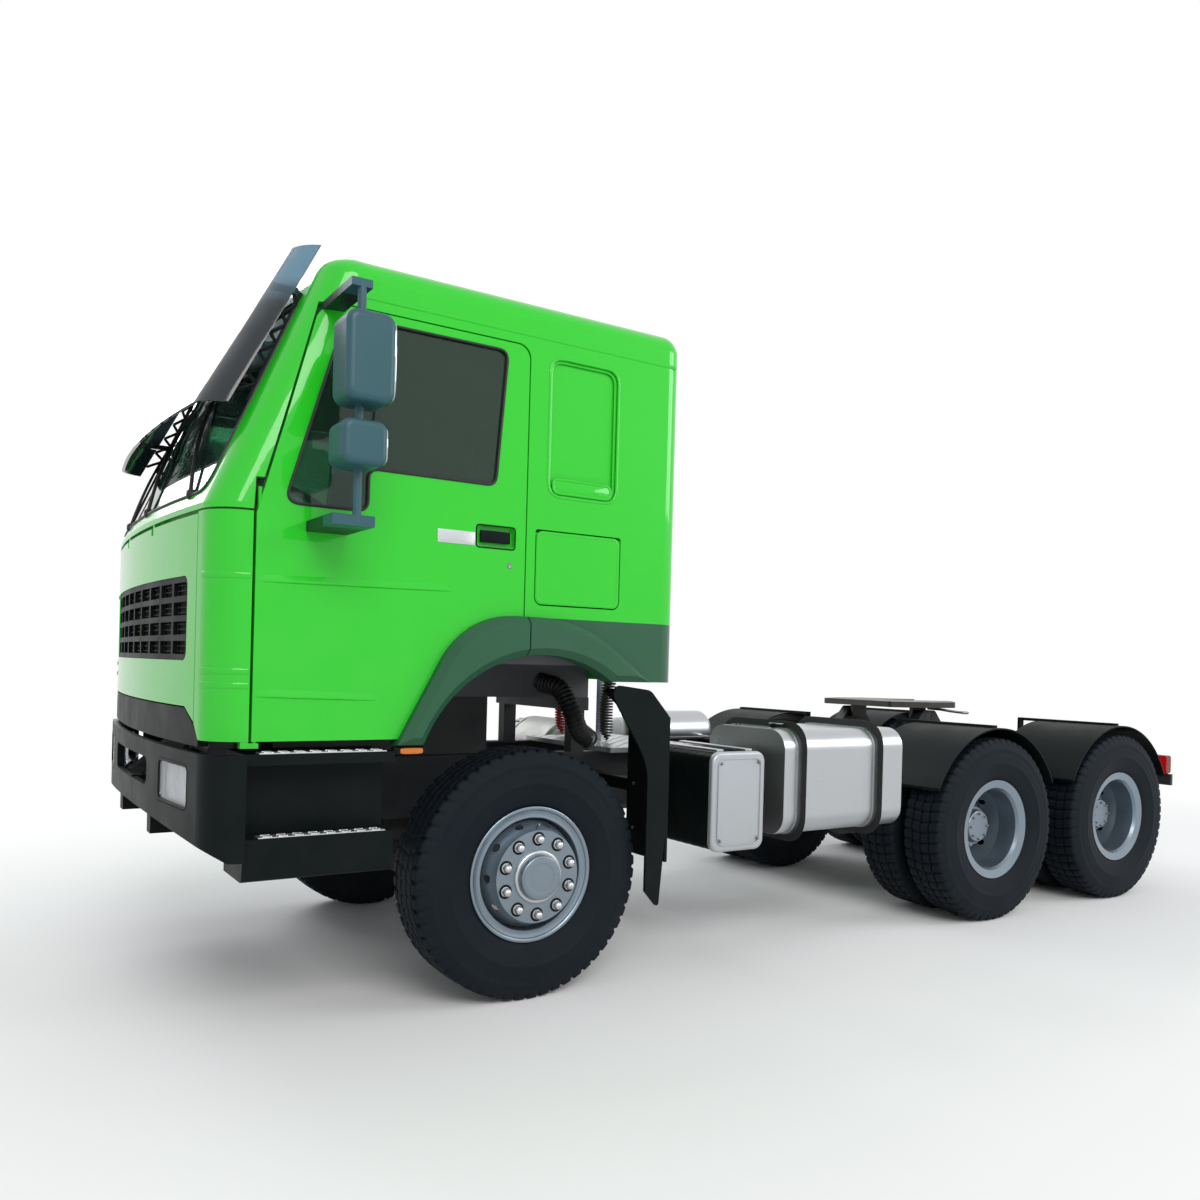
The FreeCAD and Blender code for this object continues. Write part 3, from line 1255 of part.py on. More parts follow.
def cab_panels():
    everything = ("0 - flare_outer - 50", "flare_outer + 50")
    roof_box = box("roof_zone", ("axle - cab_tail - 50", "axle + cab_nose + 50"), everything,
                   ("roof_seam", "roof_height + 50"))
    node("cab_roof", common("cab_roof_shell", SHELL, roof_box))
    back_box = box("back_zone", ("axle - cab_tail - 50", "axle - cab_tail + tail_corner"), everything,
                   ("skirt_height", "roof_seam"))
    node("cab_back", common("cab_back_shell", SHELL, back_box))

    side_zone = upright("side_zone", "side_inner - 60", "flare_outer + 50", [
        ("axle - cab_tail + tail_corner", "trim_height"),
        ("axle + door_rear", "trim_height"),
        ("axle + door_rear", "door_top", "60"),
        ("axle + door_top_front", "door_top"),
        ("axle + door_top_front", "roof_seam"),
        ("axle - cab_tail + tail_corner", "roof_seam"),
    ])
    side = common("side_shell", SHELL, side_zone)
    hatch_hole = upright("hatch_hole", "side_inner - 60", "flare_outer + 50", [
        ("axle - hatch_rear - running_gap", "hatch_bottom - running_gap", "hatch_corner + running_gap"),
        ("axle + hatch_front + running_gap", "hatch_bottom - running_gap", "hatch_corner + running_gap"),
        ("axle + hatch_front + running_gap", "hatch_top + running_gap", "hatch_swing_corner"),
        ("axle - hatch_rear - running_gap", "hatch_top + running_gap", "hatch_swing_corner"),
    ])
    recess = upright("blank_recess", "cab_half_width - blank_depth - 8", "flare_outer", wide_rect(
        "axle - blank_rear", "axle - blank_front", "blank_bottom", "blank_top", "blank_corner"))
    node("cab_sides", both_sides("cab_sides_pair", cut(
        "side_open", side, hatch_hole, recess, hatch_pin("hatch_pin_hole", "6 + pin_play", "running_gap + 16"))))

    front_zone = upright("front_zone", "0 - flare_outer - 50", "flare_outer + 50", [
        ("axle + door_front", "cowl_seam"),
        ("axle + cab_nose + 60", "cowl_seam"),
        ("axle + cab_nose + 60", "roof_seam"),
        ("axle + door_top_front", "roof_seam"),
        ("axle + door_top_front", "door_top", "90"),
        ("axle + door_front + 1 - pillar_slope * pillar_relief", "door_belt + pillar_relief"),
        ("axle + door_front - pillar_slope * pillar_relief / 6", "door_belt + pillar_relief"),
        ("axle + door_front", "door_belt + 8"),
    ])
    screen_hole = front_view("screen_hole", wide_rect("0 - screen_half_width", "screen_half_width",
                                                      "screen_bottom", "screen_top", "screen_corner"))
    wall_zone = box("fire_zone", ("axle + door_front", "axle + cab_nose + 50"), everything,
                    ("cab_bottom", "cowl_seam"))
    inner_wall = cut("inner_wall",
                     nose_band("inner_wall_out", "flap_thickness + running_gap", "cab_bottom",
                               "cowl_height", "cab_nose", "cab_half_width"),
                     nose_band("inner_wall_in", "flap_thickness + running_gap + post_wall", "cab_bottom - 20",
                               "cowl_height + 20", "cab_nose", "cab_half_width"))
    vent = front_view("radiator_opening", wide_rect("0 - 560", "560", "cab_bottom + 60", "1480", "60"))
    lower = cut("fire_wall", common("fire_wall_ring", inner_wall, wall_zone), vent)
    pin_holes = both_sides("pillar_pin_holes", rod("pillar_pin_hole", "z", "hinge_pin + pin_play", "130",
                                                   "hinge_place",
                                                   "cab_half_width - hinge_inset", "door_belt - 10"))
    upper = cut("front_upper", common("front_shell", SHELL, front_zone), screen_hole, pin_holes)
    lug_x = "axle + cab_nose - flap_hinge_back"
    flap_lug = cut("flap_lug", box("flap_lug_plate", (f"{lug_x} - 14", f"{lug_x} + 10"),
                                   ("flap_hinge_y - flap_lug_width / 2", "flap_hinge_y + flap_lug_width / 2"),
                                   ("flap_top - flap_hinge_drop - 14", "cowl_seam + 4")),
                   rod("flap_lug_hole", "y", "hinge_pin + pin_play", "80", lug_x, "flap_hinge_y - 40",
                       "flap_top - flap_hinge_drop"))
    node("cab_front", fuse("cab_front_body", upper, lower, both_sides("flap_lugs", flap_lug)))

    corner_zone = slab("corner_zone", "YZ", "axle + door_front", "axle + cab_nose + 60", [
        ("flap_half_width + running_gap", "corner_top"),
        ("flap_half_width + running_gap", "flap_bottom - 60"),
        ("notch_outer", "cab_bottom"),
        ("cab_half_width + 40", "cab_bottom"),
        ("cab_half_width + 40", "corner_top"),
    ])
    corner = common("corner_panel", CORNER_SKIN, corner_zone)
    hinge_lug = box("hinge_lug", ("hinge_place - 14", "axle + door_front + 30"),
                    ("cab_half_width - hinge_inset - 26", "cab_half_width - hinge_inset + 10"),
                    ("cab_bottom - running_gap - 20", "cab_bottom - running_gap"))
    lug_riser = box("hinge_riser", ("axle + door_front", "axle + door_front + 30"),
                    ("cab_half_width - hinge_inset - 26", "cab_half_width - hinge_inset + 10"),
                    ("cab_bottom - running_gap - 20", "cab_bottom + 4"))
    lug_hole = rod("hinge_lug_hole", "z", "hinge_pin + pin_play", "60",
                   "hinge_place", "cab_half_width - hinge_inset",
                   "cab_bottom - running_gap - 40")
    whole = cut("corner_whole", fuse("corner_with_lug", corner, hinge_lug, lug_riser), lug_hole)
    node("corner_panels", both_sides("corner_panels_pair", whole))

    trim_zone = slab("trim_zone", "YZ", "axle + door_front", "axle + cab_nose + 60", [
        ("0 - notch_outer", "trim_bottom"),
        ("notch_outer", "trim_bottom"),
        ("notch_outer", "cab_bottom - 2"),
        ("flap_half_width - 1", "flap_bottom - 64"),
        ("notch_inner", "flap_bottom - running_gap"),
        ("0 - notch_inner", "flap_bottom - running_gap"),
        ("1 - flap_half_width", "flap_bottom - 64"),
        ("0 - notch_outer", "cab_bottom - 2"),
    ])
    node("lower_trim", common("lower_trim_skin", CORNER_SKIN, trim_zone))

    screen = front_view("screen_zone", wide_rect("seat_play - screen_half_width", "screen_half_width - seat_play",
                                                 "screen_bottom + seat_play", "screen_top - seat_play",
                                                 "screen_corner"))
    node("windscreen", common("windscreen_pane", GLASS, screen))


def arch_and_flares():
    outline = [
        ("axle + flare_front_low", "cab_bottom - 22"),
        ("axle + flare_front_high", "trim_height", "flare_sweep"),
        ("axle - 183", "trim_height", "700"),
        ("axle - flare_rear", "skirt_height"),
        ("axle - flare_rear + 250", "skirt_height"),
        ("axle - flare_rear + 250", "cab_bottom - 22"),
    ]
    band = upright("flare_band", "side_inner", "flare_outer", outline)
    open_band = cut("flare_open", band, arch_cylinder("flare_arch"))
    doc.recompute()
    level = value("flare_outer")
    rounded = doc.addObject("Part::Chamfer", "flare_rounded")
    rounded.Base = open_band
    radius = value("flare_lip")
    rounded.Edges = [(i, radius, radius) for i, edge in enumerate(open_band.Shape.Edges, start=1)
                     if edge.BoundBox.YMin > level - 1]
    door_side = box("flare_door_zone", ("axle + door_rear + running_gap", "axle + 900"),
                    ("side_inner - 20", "flare_outer + 20"), ("cab_bottom - 40", "trim_height + 40"))
    flare = common("door_flare_piece", rounded, door_side)
    cab_side = box("flare_cab_zone", ("axle - 900", "axle + door_rear"), ("side_inner - 20", "flare_outer + 20"),
                   ("skirt_height", "trim_height + 40"))
    bulge = common("arch_bulge", rounded, cab_side)
    skirt = cut("skirt_open", upright("skirt_plate", "side_inner", "cab_half_width", wide_rect(
        "axle - cab_tail + tail_corner", "axle + door_rear", "skirt_height", "trim_height")),
        arch_cylinder("skirt_arch"))
    node("arch_panels", both_sides("arch_panels_pair", fuse("arch_panel", bulge, skirt)))
    return flare


def doors():
    zone = upright("door_zone", "side_inner - 60", "flare_outer + 20", door_outline("running_gap"))
    window = upright("door_window", "side_inner - 80", "flare_outer + 40", WINDOW)
    handle = upright("handle_recess", "cab_half_width - handle_depth", "flare_outer + 40", wide_rect(
        "axle + handle_rear", "axle + handle_front", "handle_low", "handle_high", "14"))
    plate = cut("door_plate", common("door_shell", SHELL, zone), window, handle)
    hinge_x = "hinge_place"
    hinge_y = "cab_half_width - hinge_inset"
    low_pin = rod("door_pin_low", "z", "hinge_pin", "60", hinge_x, hinge_y, "cab_bottom - running_gap - 20")
    high_pin = rod("door_pin_high", "z", "hinge_pin", "140", hinge_x, hinge_y, "door_belt - 40")
    left = fuse("door_body", plate, low_pin, high_pin)
    node("door_left", group("door_left_set", left))
    node("door_right", mirror("door_right_mirror", left))
    pane = common("door_pane", GLASS, upright("pane_zone", "side_inner - 60", "flare_outer + 20",
                                              inset_window("0 - seat_play")))
    node("door_glass_left", group("door_glass_left_set", pane))
    node("door_glass_right", mirror("door_glass_right_mirror", pane))


def hatch_pin(name, radius, reach):
    """A pin through the top of the locker lid, out past both ends."""
    return rod(name, "x", radius, f"hatch_rear + hatch_front + 2 * ({reach})", f"axle - hatch_rear - ({reach})",
               "cab_half_width - hinge_inset", "hatch_top - hinge_inset")


def hatches():
    plate = common("hatch_plate", SHELL, upright("hatch_zone", "side_inner - 20", "flare_outer", wide_rect(
        "axle - hatch_rear", "axle + hatch_front", "hatch_bottom", "hatch_top", "hatch_corner")))
    lid = fuse("hatch_lid", plate, hatch_pin("hatch_pin", "6", "running_gap + 14"))
    node("hatch_left", group("hatch_left_set", lid))
    node("hatch_right", mirror("hatch_right_mirror", lid))


def front_flap():
    zone = slab("flap_zone", "YZ", "axle + door_front", "axle + cab_nose + 60", [
        ("0 - flap_half_width", "flap_top"),
        ("0 - flap_half_width", "flap_bottom - 54"),
        ("0 - notch_inner", "flap_bottom"),
        ("notch_inner", "flap_bottom"),
        ("flap_half_width", "flap_bottom - 54"),
        ("flap_half_width", "flap_top"),
    ])
    skin = common("flap_skin", NOSE_SKIN, zone)
    window = front_view("grille_hole", wide_rect("0 - grille_half_width", "grille_half_width", "grille_bottom",
                                                 "grille_top", "40"))
    lug_x = "axle + cab_nose - flap_hinge_back"
    notch = both_sides("flap_notches", box(
        "flap_notch", ("axle + cab_nose - 90", "axle + cab_nose + 20"),
        ("flap_hinge_y - flap_lug_width / 2 - running_gap", "flap_hinge_y + flap_lug_width / 2 + running_gap"),
        ("flap_top - flap_hinge_drop - 20", "flap_top + 20")))
    pins = both_sides("flap_pins", rod("flap_pin", "y", "hinge_pin", "flap_lug_width + 2 * running_gap + 30",
                                       lug_x, "flap_hinge_y - flap_lug_width / 2 - running_gap - 15",
                                       "flap_top - flap_hinge_drop"))
    node("front_flap", fuse("front_flap_body", cut("flap_open", skin, window, notch), pins))
    band = cut("grille_band", nose_band("grille_out", "5", "trim_bottom", "cowl_height", "cab_nose", "cab_half_width"),
               nose_band("grille_in", "flap_thickness - 4", "trim_bottom - 20", "cowl_height + 20", "cab_nose",
                         "cab_half_width"))
    rows, columns = int(value("grille_rows")), int(value("grille_columns"))
    width = f"(2 * grille_half_width - grille_bar) / {columns}"
    height = f"(grille_top - grille_bottom - grille_bar) / {rows}"
    reach = ("axle + cab_nose - 300", "axle + cab_nose + 40")
    rim = front_view("grille_rim", wide_rect("seat_play - grille_half_width", "grille_half_width - seat_play",
                                             "grille_bottom + seat_play", "grille_top - seat_play", "40"),
                     wide_rect("grille_bar - grille_half_width", "grille_half_width - grille_bar",
                               "grille_bottom + grille_bar", "grille_top - grille_bar", "20"))
    bars = [box(f"grille_row_{row}", reach, ("10 - grille_half_width", "grille_half_width - 10"),
                (f"grille_bottom + ({height}) * {row}", f"grille_bottom + ({height}) * {row} + grille_bar"))
            for row in range(1, rows)]
    posts = [box(f"grille_post_{column}", reach,
                 (f"({width}) * {column} - grille_half_width", f"({width}) * {column} - grille_half_width + grille_bar"),
                 ("grille_bottom + 10", "grille_top - 10"))
             for column in range(1, columns)]
    frame = fuse("grille_frame", rim, *bars, *posts)
    node("grille", common("grille_body", band, frame))


def cab_floor():
    rear = "axle - cab_tail + cab_wall"
    floor = box("floor_pan", (rear, "axle + cab_nose"), ("running_gap - side_inner", "side_inner - running_gap"),
                ("floor_height", "floor_height + floor_thickness"))
    tunnel = box("tunnel_top", (rear, "axle + tunnel_front + 40"),
                 ("0 - tunnel_half_width - 40", "tunnel_half_width + 40"), ("floor_height", "tunnel_height"))
    hollow = box("tunnel_hollow", ("axle - cab_tail", "axle + tunnel_front"),
                 ("0 - tunnel_half_width", "tunnel_half_width"), ("floor_height - 10", "tunnel_height - 30"))
    inside = nose_band("floor_band", "flap_thickness + running_gap + post_wall", "floor_height - 20",
                       "tunnel_height + 20", "cab_nose", "cab_half_width")
    pan = common("floor_trimmed", cut("floor_open", fuse("floor_raised", floor, tunnel), hollow), inside)
    beam = slab("underframe_beam", "XZ", "underframe_half_width - underframe_width / 2",
                "underframe_half_width + underframe_width / 2", [
        ("axle - cab_tail + cab_wall", "underframe_height"),
        ("pivot_x - 262", "underframe_height", "40"),
        ("pivot_x - 262", "pivot_z + 172", "40"),
        ("pivot_x - 38", "pivot_z - 38", "34"),
        ("pivot_x + 38", "pivot_z - 38", "34"),
        ("pivot_x + 38", "pivot_z + 34", "30"),
        ("pivot_x", "pivot_z + 44", "20"),
        ("pivot_x - 161", "pivot_z + 182", "40"),
        ("pivot_x - 150", "floor_height"),
        ("axle - cab_tail + cab_wall", "floor_height"),
    ])
    bore = rod("pivot_bore", "y", "20 + pin_play", "200", "pivot_x", "underframe_half_width - 100", "pivot_z")
    beams = both_sides("underframe", cut("underframe_left", beam, bore))
    legs = [box(f"seat_base_{side}", ("axle + 190", "axle + 560"), (f"{y} - 160", f"{y} + 160"),
                ("floor_height + floor_thickness", "seat_level - seat_play"))
            for side, y in (("left", "seat_y"), ("right", "0 - seat_y"))]
    shelf = box("bunk_shelf", (rear, f"{rear} + bunk_depth"), ("6 - side_inner", "side_inner - 6"),
                ("bunk_height - 40", "bunk_height"))
    front = box("bunk_front", (f"{rear} + bunk_depth - 20", f"{rear} + bunk_depth"),
                ("6 - side_inner", "side_inner - 6"), ("tunnel_height", "bunk_height"))
    sides = both_sides("bunk_sides", box("bunk_side", (f"{rear} + bunk_depth - 20", f"{rear} + bunk_depth"),
                                         ("tunnel_half_width + 40", "side_inner - 6"),
                                         ("floor_height + floor_thickness", "tunnel_height")))
    back_band = nose_band("shelf_band", "cab_wall", "bunk_height - 60", "bunk_height + 20", "cab_nose",
                          "cab_half_width")
    node("cab_floor", fuse("cab_floor_body", pan, beams, common("shelf_trimmed", shelf, back_band), front, sides,
                           *legs))


def interior():
    dash = upright("dash_body", "30 - side_inner", "side_inner - 30", [
        ("axle + 1130", "tunnel_height + 2"),
        ("axle + cab_nose", "1640"),
        ("axle + cab_nose", "2050"),
        ("axle + 1120", "2050", "60"),
        ("axle + 960", "2000", "50"),
        ("axle + 980", "tunnel_height + 30", "50"),
    ])
    inside = nose_band("dash_band", "flap_thickness + running_gap + post_wall", "1500", "cowl_height", "cab_nose",
                       "cab_half_width")
    column = group("column_tilted", rod("column", "z", "28", "230", "0", "0", "0 - 270 - seat_play"))
    column.Placement.Rotation = FreeCAD.Rotation(Vector(0, 1, 0), -value("steer_rake"))
    place(column, "axle + 860", "seat_y", "2110")
    node("dashboard", fuse("dashboard_body", common("dash_trimmed", dash, inside), column))
    seats = []
    for number, y in enumerate(("seat_y", "0 - seat_y"), start=1):
        seats.append(slab(f"seat_{number}", "XZ", f"{y} - seat_width / 2", f"{y} + seat_width / 2", [
            ("axle + 130", "seat_level"),
            ("axle + 660", "seat_level", "50"),
            ("axle + 660", "1925", "50"),
            ("axle + 290", "1900", "40"),
            ("axle + 150", "2560", "50"),
            ("axle + 10", "2540", "50"),
        ]))
    node("seats", group("seats_set", *seats))
    rear = "axle - cab_tail + cab_wall"
    bunk = box("bunk_body", (f"{rear} + 2", f"{rear} + bunk_depth - 10"), ("6 - side_inner", "side_inner - 6"),
               ("bunk_height + seat_play", "bunk_height + mattress"))
    inside = nose_band("bunk_band", "cab_wall + 2", "bunk_height", "bunk_height + mattress + 20", "cab_nose",
                       "cab_half_width")
    node("bunk", common("bunk_trimmed", bunk, inside))
    ring = doc.addObject("Part::Torus", "steering_ring")
    bind(ring, "Radius1", "wheel_ring_radius")
    ring.Radius2 = 16
    hub = rod("steering_hub", "z", "60", "60", "0", "0", "0 - 40")
    spoke = box("steering_spoke", ("0 - wheel_ring_radius", "wheel_ring_radius"), ("0 - 22", "22"), ("0 - 14", "0 + 4"))
    wheel = fuse("steering_wheel_flat", ring, hub, spoke)
    turned_wheel = group("steering_wheel_tilted", wheel)
    turned_wheel.Placement.Rotation = FreeCAD.Rotation(Vector(0, 1, 0), -value("steer_rake"))
    place(turned_wheel, "axle + 860", "seat_y", "2110")
    node("steering_wheel", turned_wheel)


def visor_and_mirrors(flare):
    def visor_form(name, inset, over):
        section = plan_section(name + "_low", f"visor_low - ({over})", f"visor_nose_low + ({over}) * (visor_nose_low - visor_nose_high) / (visor_high - visor_low)",
                               "visor_half_width", inset)
        return raised(name, section, f"visor_high - visor_low + 2 * ({over})",
                      ("visor_nose_high - visor_nose_low", "visor_high - visor_low"))

    rim = cut("visor_rim", visor_form("visor_out", "0", "0"), visor_form("visor_in", "visor_wall", "20"))
    band = upright("visor_zone", "0 - visor_half_width - 30", "visor_half_width + 30", [
        ("axle + visor_nose_low - visor_depth - 62", "visor_low - 20"),
        ("axle + visor_nose_low + 60", "visor_low - 20"),
        ("axle + visor_nose_high + 60", "visor_high + 20"),
        ("axle + visor_nose_high - visor_depth - 62", "visor_high + 20"),
    ])
    blade = common("visor_blade", rim, band)
    cab_form = doc.getObject("cab_outer")
    stays = []
    for number, (y, z) in enumerate((("860", "3010"), ("300", "3010"), ("860", "2620")), start=1):
        slope = "(visor_nose_low - visor_nose_high) / (visor_high - visor_low)"
        front = f"axle + visor_nose_high + ({slope}) * (visor_high - {z}) - ({y}) * ({y}) / (2 * nose_radius) - 10"
        stay = box(f"visor_stay_{number}", (f"({front}) - 260", front), (f"{y} - 14", f"{y} + 14"),
                   (f"{z} - 12", f"{z} + 12"))
        stays.append(cut(f"visor_stay_cut_{number}", stay, cab_form))
    node("sun_visor", fuse("sun_visor_body", blade, both_sides("visor_stays", group("visor_stays_left", *stays))))
    arm_high = box("mirror_arm_high", ("axle + 930", "axle + 1010"), ("cab_half_width - 60", "1480"), ("2862", "2892"))
    arm_low = box("mirror_arm_low", ("axle + 900", "axle + 1060"), ("cab_half_width - 60", "1480"), ("1990", "2030"))
    big = softened("mirror_head_soft", slab("mirror_head", "XZ", "1380", "1560", wide_rect(
        "axle + 860", "axle + 1046", "2430", "2760", "45")), "28", lambda span: span.YLength < 1)
    small = softened("mirror_small_soft", slab("mirror_small", "XZ", "1380", "1560", wide_rect(
        "axle + 885", "axle + 1054", "2200", "2366", "38")), "24", lambda span: span.YLength < 1)
    stem = rod("mirror_stem", "z", "16", "2880 - 2000", "axle + 965", "1465", "2000")
    mirror_set = cut("mirror_body", fuse("mirror_whole", arm_high, arm_low, big, small, stem), cab_form)
    fittings = group("door_fittings", mirror_set, flare)
    node("door_fittings_left", fittings)
    node("door_fittings_right", mirror("door_fittings_right_mirror", fittings))


front_wheels()
rear_wheels()
knuckles()
tie_rod()
frame_rails()
crossmembers()
node("axles", group("axles_set", front_axle(), rear_axles()))
springs()
drivetrain()
bumper()
node("lamps", group("lamps_set", front_lamps(), tail_lamps()))
steps()
node("mudguards", group("mudguards_set", front_mudguards(), rear_mudguards()))
battery_box()
fuel_tank()
right_side_units()
catwalk()
cab_mounts()
fifth_wheel()
cab_panels()
door_flare = arch_and_flares()
doors()
hatches()
front_flap()
cab_floor()
interior()
visor_and_mirrors(door_flare)

doc.recompute()
for thing in doc.Objects:
    if "Invalid" in thing.State or "Error" in thing.State:
        raise RuntimeError(f"{thing.Name} failed: {thing.State}")
os.makedirs("parts", exist_ok=True)
for piece in NODES:
    shape = piece.Shape
    if shape.isNull() or not shape.isValid() or not shape.Solids:
        raise RuntimeError(f"{piece.Label} has no valid solid")
    Part.makeCompound(shape.Solids).exportStep(f"parts/{piece.Label}.step")
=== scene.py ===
"""A tractor unit with a sleeper cab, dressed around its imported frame.

Every added piece is a surface worked out with numpy in the frame's metres:
X forward, Y to the left, Z up, the origin on the ground under the middle.
"""
import json
import math

import bmesh
import bpy
import numpy as np
from mathutils import Matrix, Vector

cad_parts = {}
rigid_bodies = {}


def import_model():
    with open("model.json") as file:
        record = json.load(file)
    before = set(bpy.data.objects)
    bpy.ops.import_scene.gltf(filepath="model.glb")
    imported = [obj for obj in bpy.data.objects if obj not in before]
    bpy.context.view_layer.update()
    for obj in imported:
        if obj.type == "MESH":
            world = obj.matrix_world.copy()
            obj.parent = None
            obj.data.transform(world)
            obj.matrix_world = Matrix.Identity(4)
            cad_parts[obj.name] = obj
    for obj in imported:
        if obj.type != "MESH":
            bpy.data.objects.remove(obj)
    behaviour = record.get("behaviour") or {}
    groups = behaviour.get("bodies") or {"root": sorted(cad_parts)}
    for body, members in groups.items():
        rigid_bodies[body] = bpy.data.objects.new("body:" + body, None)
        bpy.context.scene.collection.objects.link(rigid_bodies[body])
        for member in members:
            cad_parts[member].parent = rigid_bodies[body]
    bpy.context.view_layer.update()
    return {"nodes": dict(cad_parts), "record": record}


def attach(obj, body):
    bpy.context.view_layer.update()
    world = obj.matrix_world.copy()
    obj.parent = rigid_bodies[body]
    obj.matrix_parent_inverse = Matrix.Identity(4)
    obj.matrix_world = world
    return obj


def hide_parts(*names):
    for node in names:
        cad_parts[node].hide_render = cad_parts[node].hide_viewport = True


for spare in list(bpy.data.objects):
    bpy.data.objects.remove(spare)

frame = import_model()

# Places of the wheels, hubs, skin panels and seats

AXLE_X = 1.9
BOGIE_X = {"middle": -1.325, "rear": -2.675}
WHEEL_Z = 0.562
FRONT_FACE_Y = 1.1835
REAR_FACE_Y = 0.931
REAR_HUB_Y = 1.081
STUDS = 10
STUD_CIRCLE = 0.1675
SKIN_Y = 1.168
NOSE_X = 3.38
BUMPER_X = 3.4
BUMPER_Y = 1.226
COWL_Z = 2.08
FLARE_TOP_Z = 1.7075
SEAT_Y = 0.62
SIDES = (("left", 1), ("right", -1))
TURN = 2 * math.pi


# Camera

def look_from():
    """The photograph's viewpoint: 1.5 m up, ahead of the cab on its left, turned a little down its side."""
    yaw, pitch, roll = 0.581, -0.006, 0.027
    eye = np.array([4.13, 5.069, 1.503])
    ahead = np.array([-math.sin(yaw) * math.cos(pitch), -math.cos(yaw) * math.cos(pitch), math.sin(pitch)])
    right = np.cross(ahead, (0, 0, 1))
    right /= np.linalg.norm(right)
    up = np.cross(right, ahead)
    side = right * math.cos(roll) + up * math.sin(roll)
    top = up * math.cos(roll) - right * math.sin(roll)
    lens = bpy.data.cameras.new("viewpoint")
    lens.sensor_width = 36
    lens.lens = 30.33
    lens.shift_x = -0.0032
    lens.shift_y = 0.0599
    lens.clip_end = 200
    view = bpy.data.objects.new("viewpoint", lens)
    bpy.context.collection.objects.link(view)
    matrix = Matrix.Identity(4)
    for column, axis in enumerate((side, top, -ahead, eye)):
        for row in range(3):
            matrix[row][column] = float(axis[row])
    view.matrix_world = matrix
    bpy.context.scene.camera = view


look_from()
bpy.context.scene.view_settings.view_transform = "Standard"


# Surfaces

def grid_faces(rows, columns, wrap_rows, wrap_columns):
    """Quads between neighbouring points of a rows x columns grid."""
    down, along = np.arange(rows - (not wrap_rows)), np.arange(columns - (not wrap_columns))
    i, j = (index.ravel() for index in np.meshgrid(down, along, indexing="ij"))
    i2, j2 = (i + 1) % rows, (j + 1) % columns
    return np.stack([i * columns + j, i * columns + j2, i2 * columns + j2, i2 * columns + j], 1)


def closed_grid(points, wrap_rows=False):
    """A grid whose columns run round a loop; its first and last rows are closed by fans."""
    rows, columns, _ = points.shape
    verts = points.reshape(-1, 3)
    faces = [list(f) for f in grid_faces(rows, columns, wrap_rows, True)]
    if not wrap_rows:
        verts = np.vstack([verts, points[0].mean(0), points[-1].mean(0)])
        ring = np.arange(columns)
        nxt = (ring + 1) % columns
        first, last = rows * columns, rows * columns + 1
        top = (rows - 1) * columns
        faces += [[first, b, a] for a, b in zip(ring.tolist(), nxt.tolist())]
        faces += [[last, top + a, top + b] for a, b in zip(ring.tolist(), nxt.tolist())]
    return verts, faces


def joined(*parts):
    """Several (points, faces) pairs as one mesh."""
    verts, faces, start = [], [], 0
    for v, f in parts:
        verts.append(np.asarray(v, float))
        faces += [[start + i for i in face] for face in f]
        start += len(v)
    return np.vstack(verts), faces


def mirrored(shape):
    """The same shape on the other side of the middle plane, its faces turned back outwards."""
    verts, faces = shape
    return np.asarray(verts) * (1, -1, 1), [list(face)[::-1] for face in faces]


def signed_power(value, power):
    """The size of a value raised to a power, with the value's own sign."""
    return np.sign(value) * np.abs(value) ** power


def pillow(centre, half, round_flat=0.35, round_up=0.35, around=32, up=13):
    """A block with rounded faces: a sphere's cosines and sines raised to a small power.

    x = a cos(v)^p cos(u)^q, y = b cos(v)^p sin(u)^q, z = c sin(v)^p.
    """
    u = np.linspace(0, TURN, around, endpoint=False) + TURN / around / 2
    v = np.linspace(-math.pi / 2, math.pi / 2, up)[1:-1]
    v, u = np.meshgrid(v, u, indexing="ij")
    ring = signed_power(np.cos(v), round_up)
    points = np.stack([ring * signed_power(np.cos(u), round_flat) * half[0],
                       ring * signed_power(np.sin(u), round_flat) * half[1],
                       signed_power(np.sin(v), round_up) * half[2]], 2)
    verts, faces = closed_grid(points)
    verts[-2] = (0, 0, -half[2])
    verts[-1] = (0, 0, half[2])
    return verts + np.asarray(centre), faces


def turned_shape(profile, origin, axis="y", steps=40, hollow=False):
    """A profile of (radius, distance along the axis) points turned about an axis.

    A hollow shape is a ring: its profile closes on itself.
    """
    profile = np.asarray(profile, float)
    angle = np.linspace(0, TURN, steps, endpoint=False)
    r, d = profile[:, :1], np.repeat(profile[:, 1:2], steps, 1)
    c, s = r * np.cos(angle), r * np.sin(angle)
    order = {"x": (d, c, s), "y": (s, d, c), "z": (c, s, d)}[axis]
    points = np.stack(order, 2) + np.asarray(origin)
    return closed_grid(points, wrap_rows=hollow)


def along_path(path, profile, closed=False, up=(0, 0, 1)):
    """A small loop of (side, up) points carried square to a path, turned to keep one side up.

    Each point is the path's, plus its side share of ahead x up, plus its rise share of side x ahead.
    """
    path = np.asarray(path, float)
    profile = np.asarray(profile, float)
    if closed:
        ahead = np.roll(path, -1, 0) - np.roll(path, 1, 0)
    else:
        ahead = np.gradient(path, axis=0)
    ahead /= np.linalg.norm(ahead, axis=1, keepdims=True)
    side = np.cross(ahead, np.asarray(up, float))
    side /= np.linalg.norm(side, axis=1, keepdims=True)
    rise = np.cross(side, ahead)
    points = path[:, None] + side[:, None] * profile[None, :, :1] + rise[:, None] * profile[None, :, 1:]
    return closed_grid(points, wrap_rows=closed)


def circle_loop(radius, steps=12):
    """A round section: the cosine and sine of equal steps of turn, times the radius."""
    angle = np.linspace(0, TURN, steps, endpoint=False)
    return np.stack([np.cos(angle), np.sin(angle)], 1) * radius


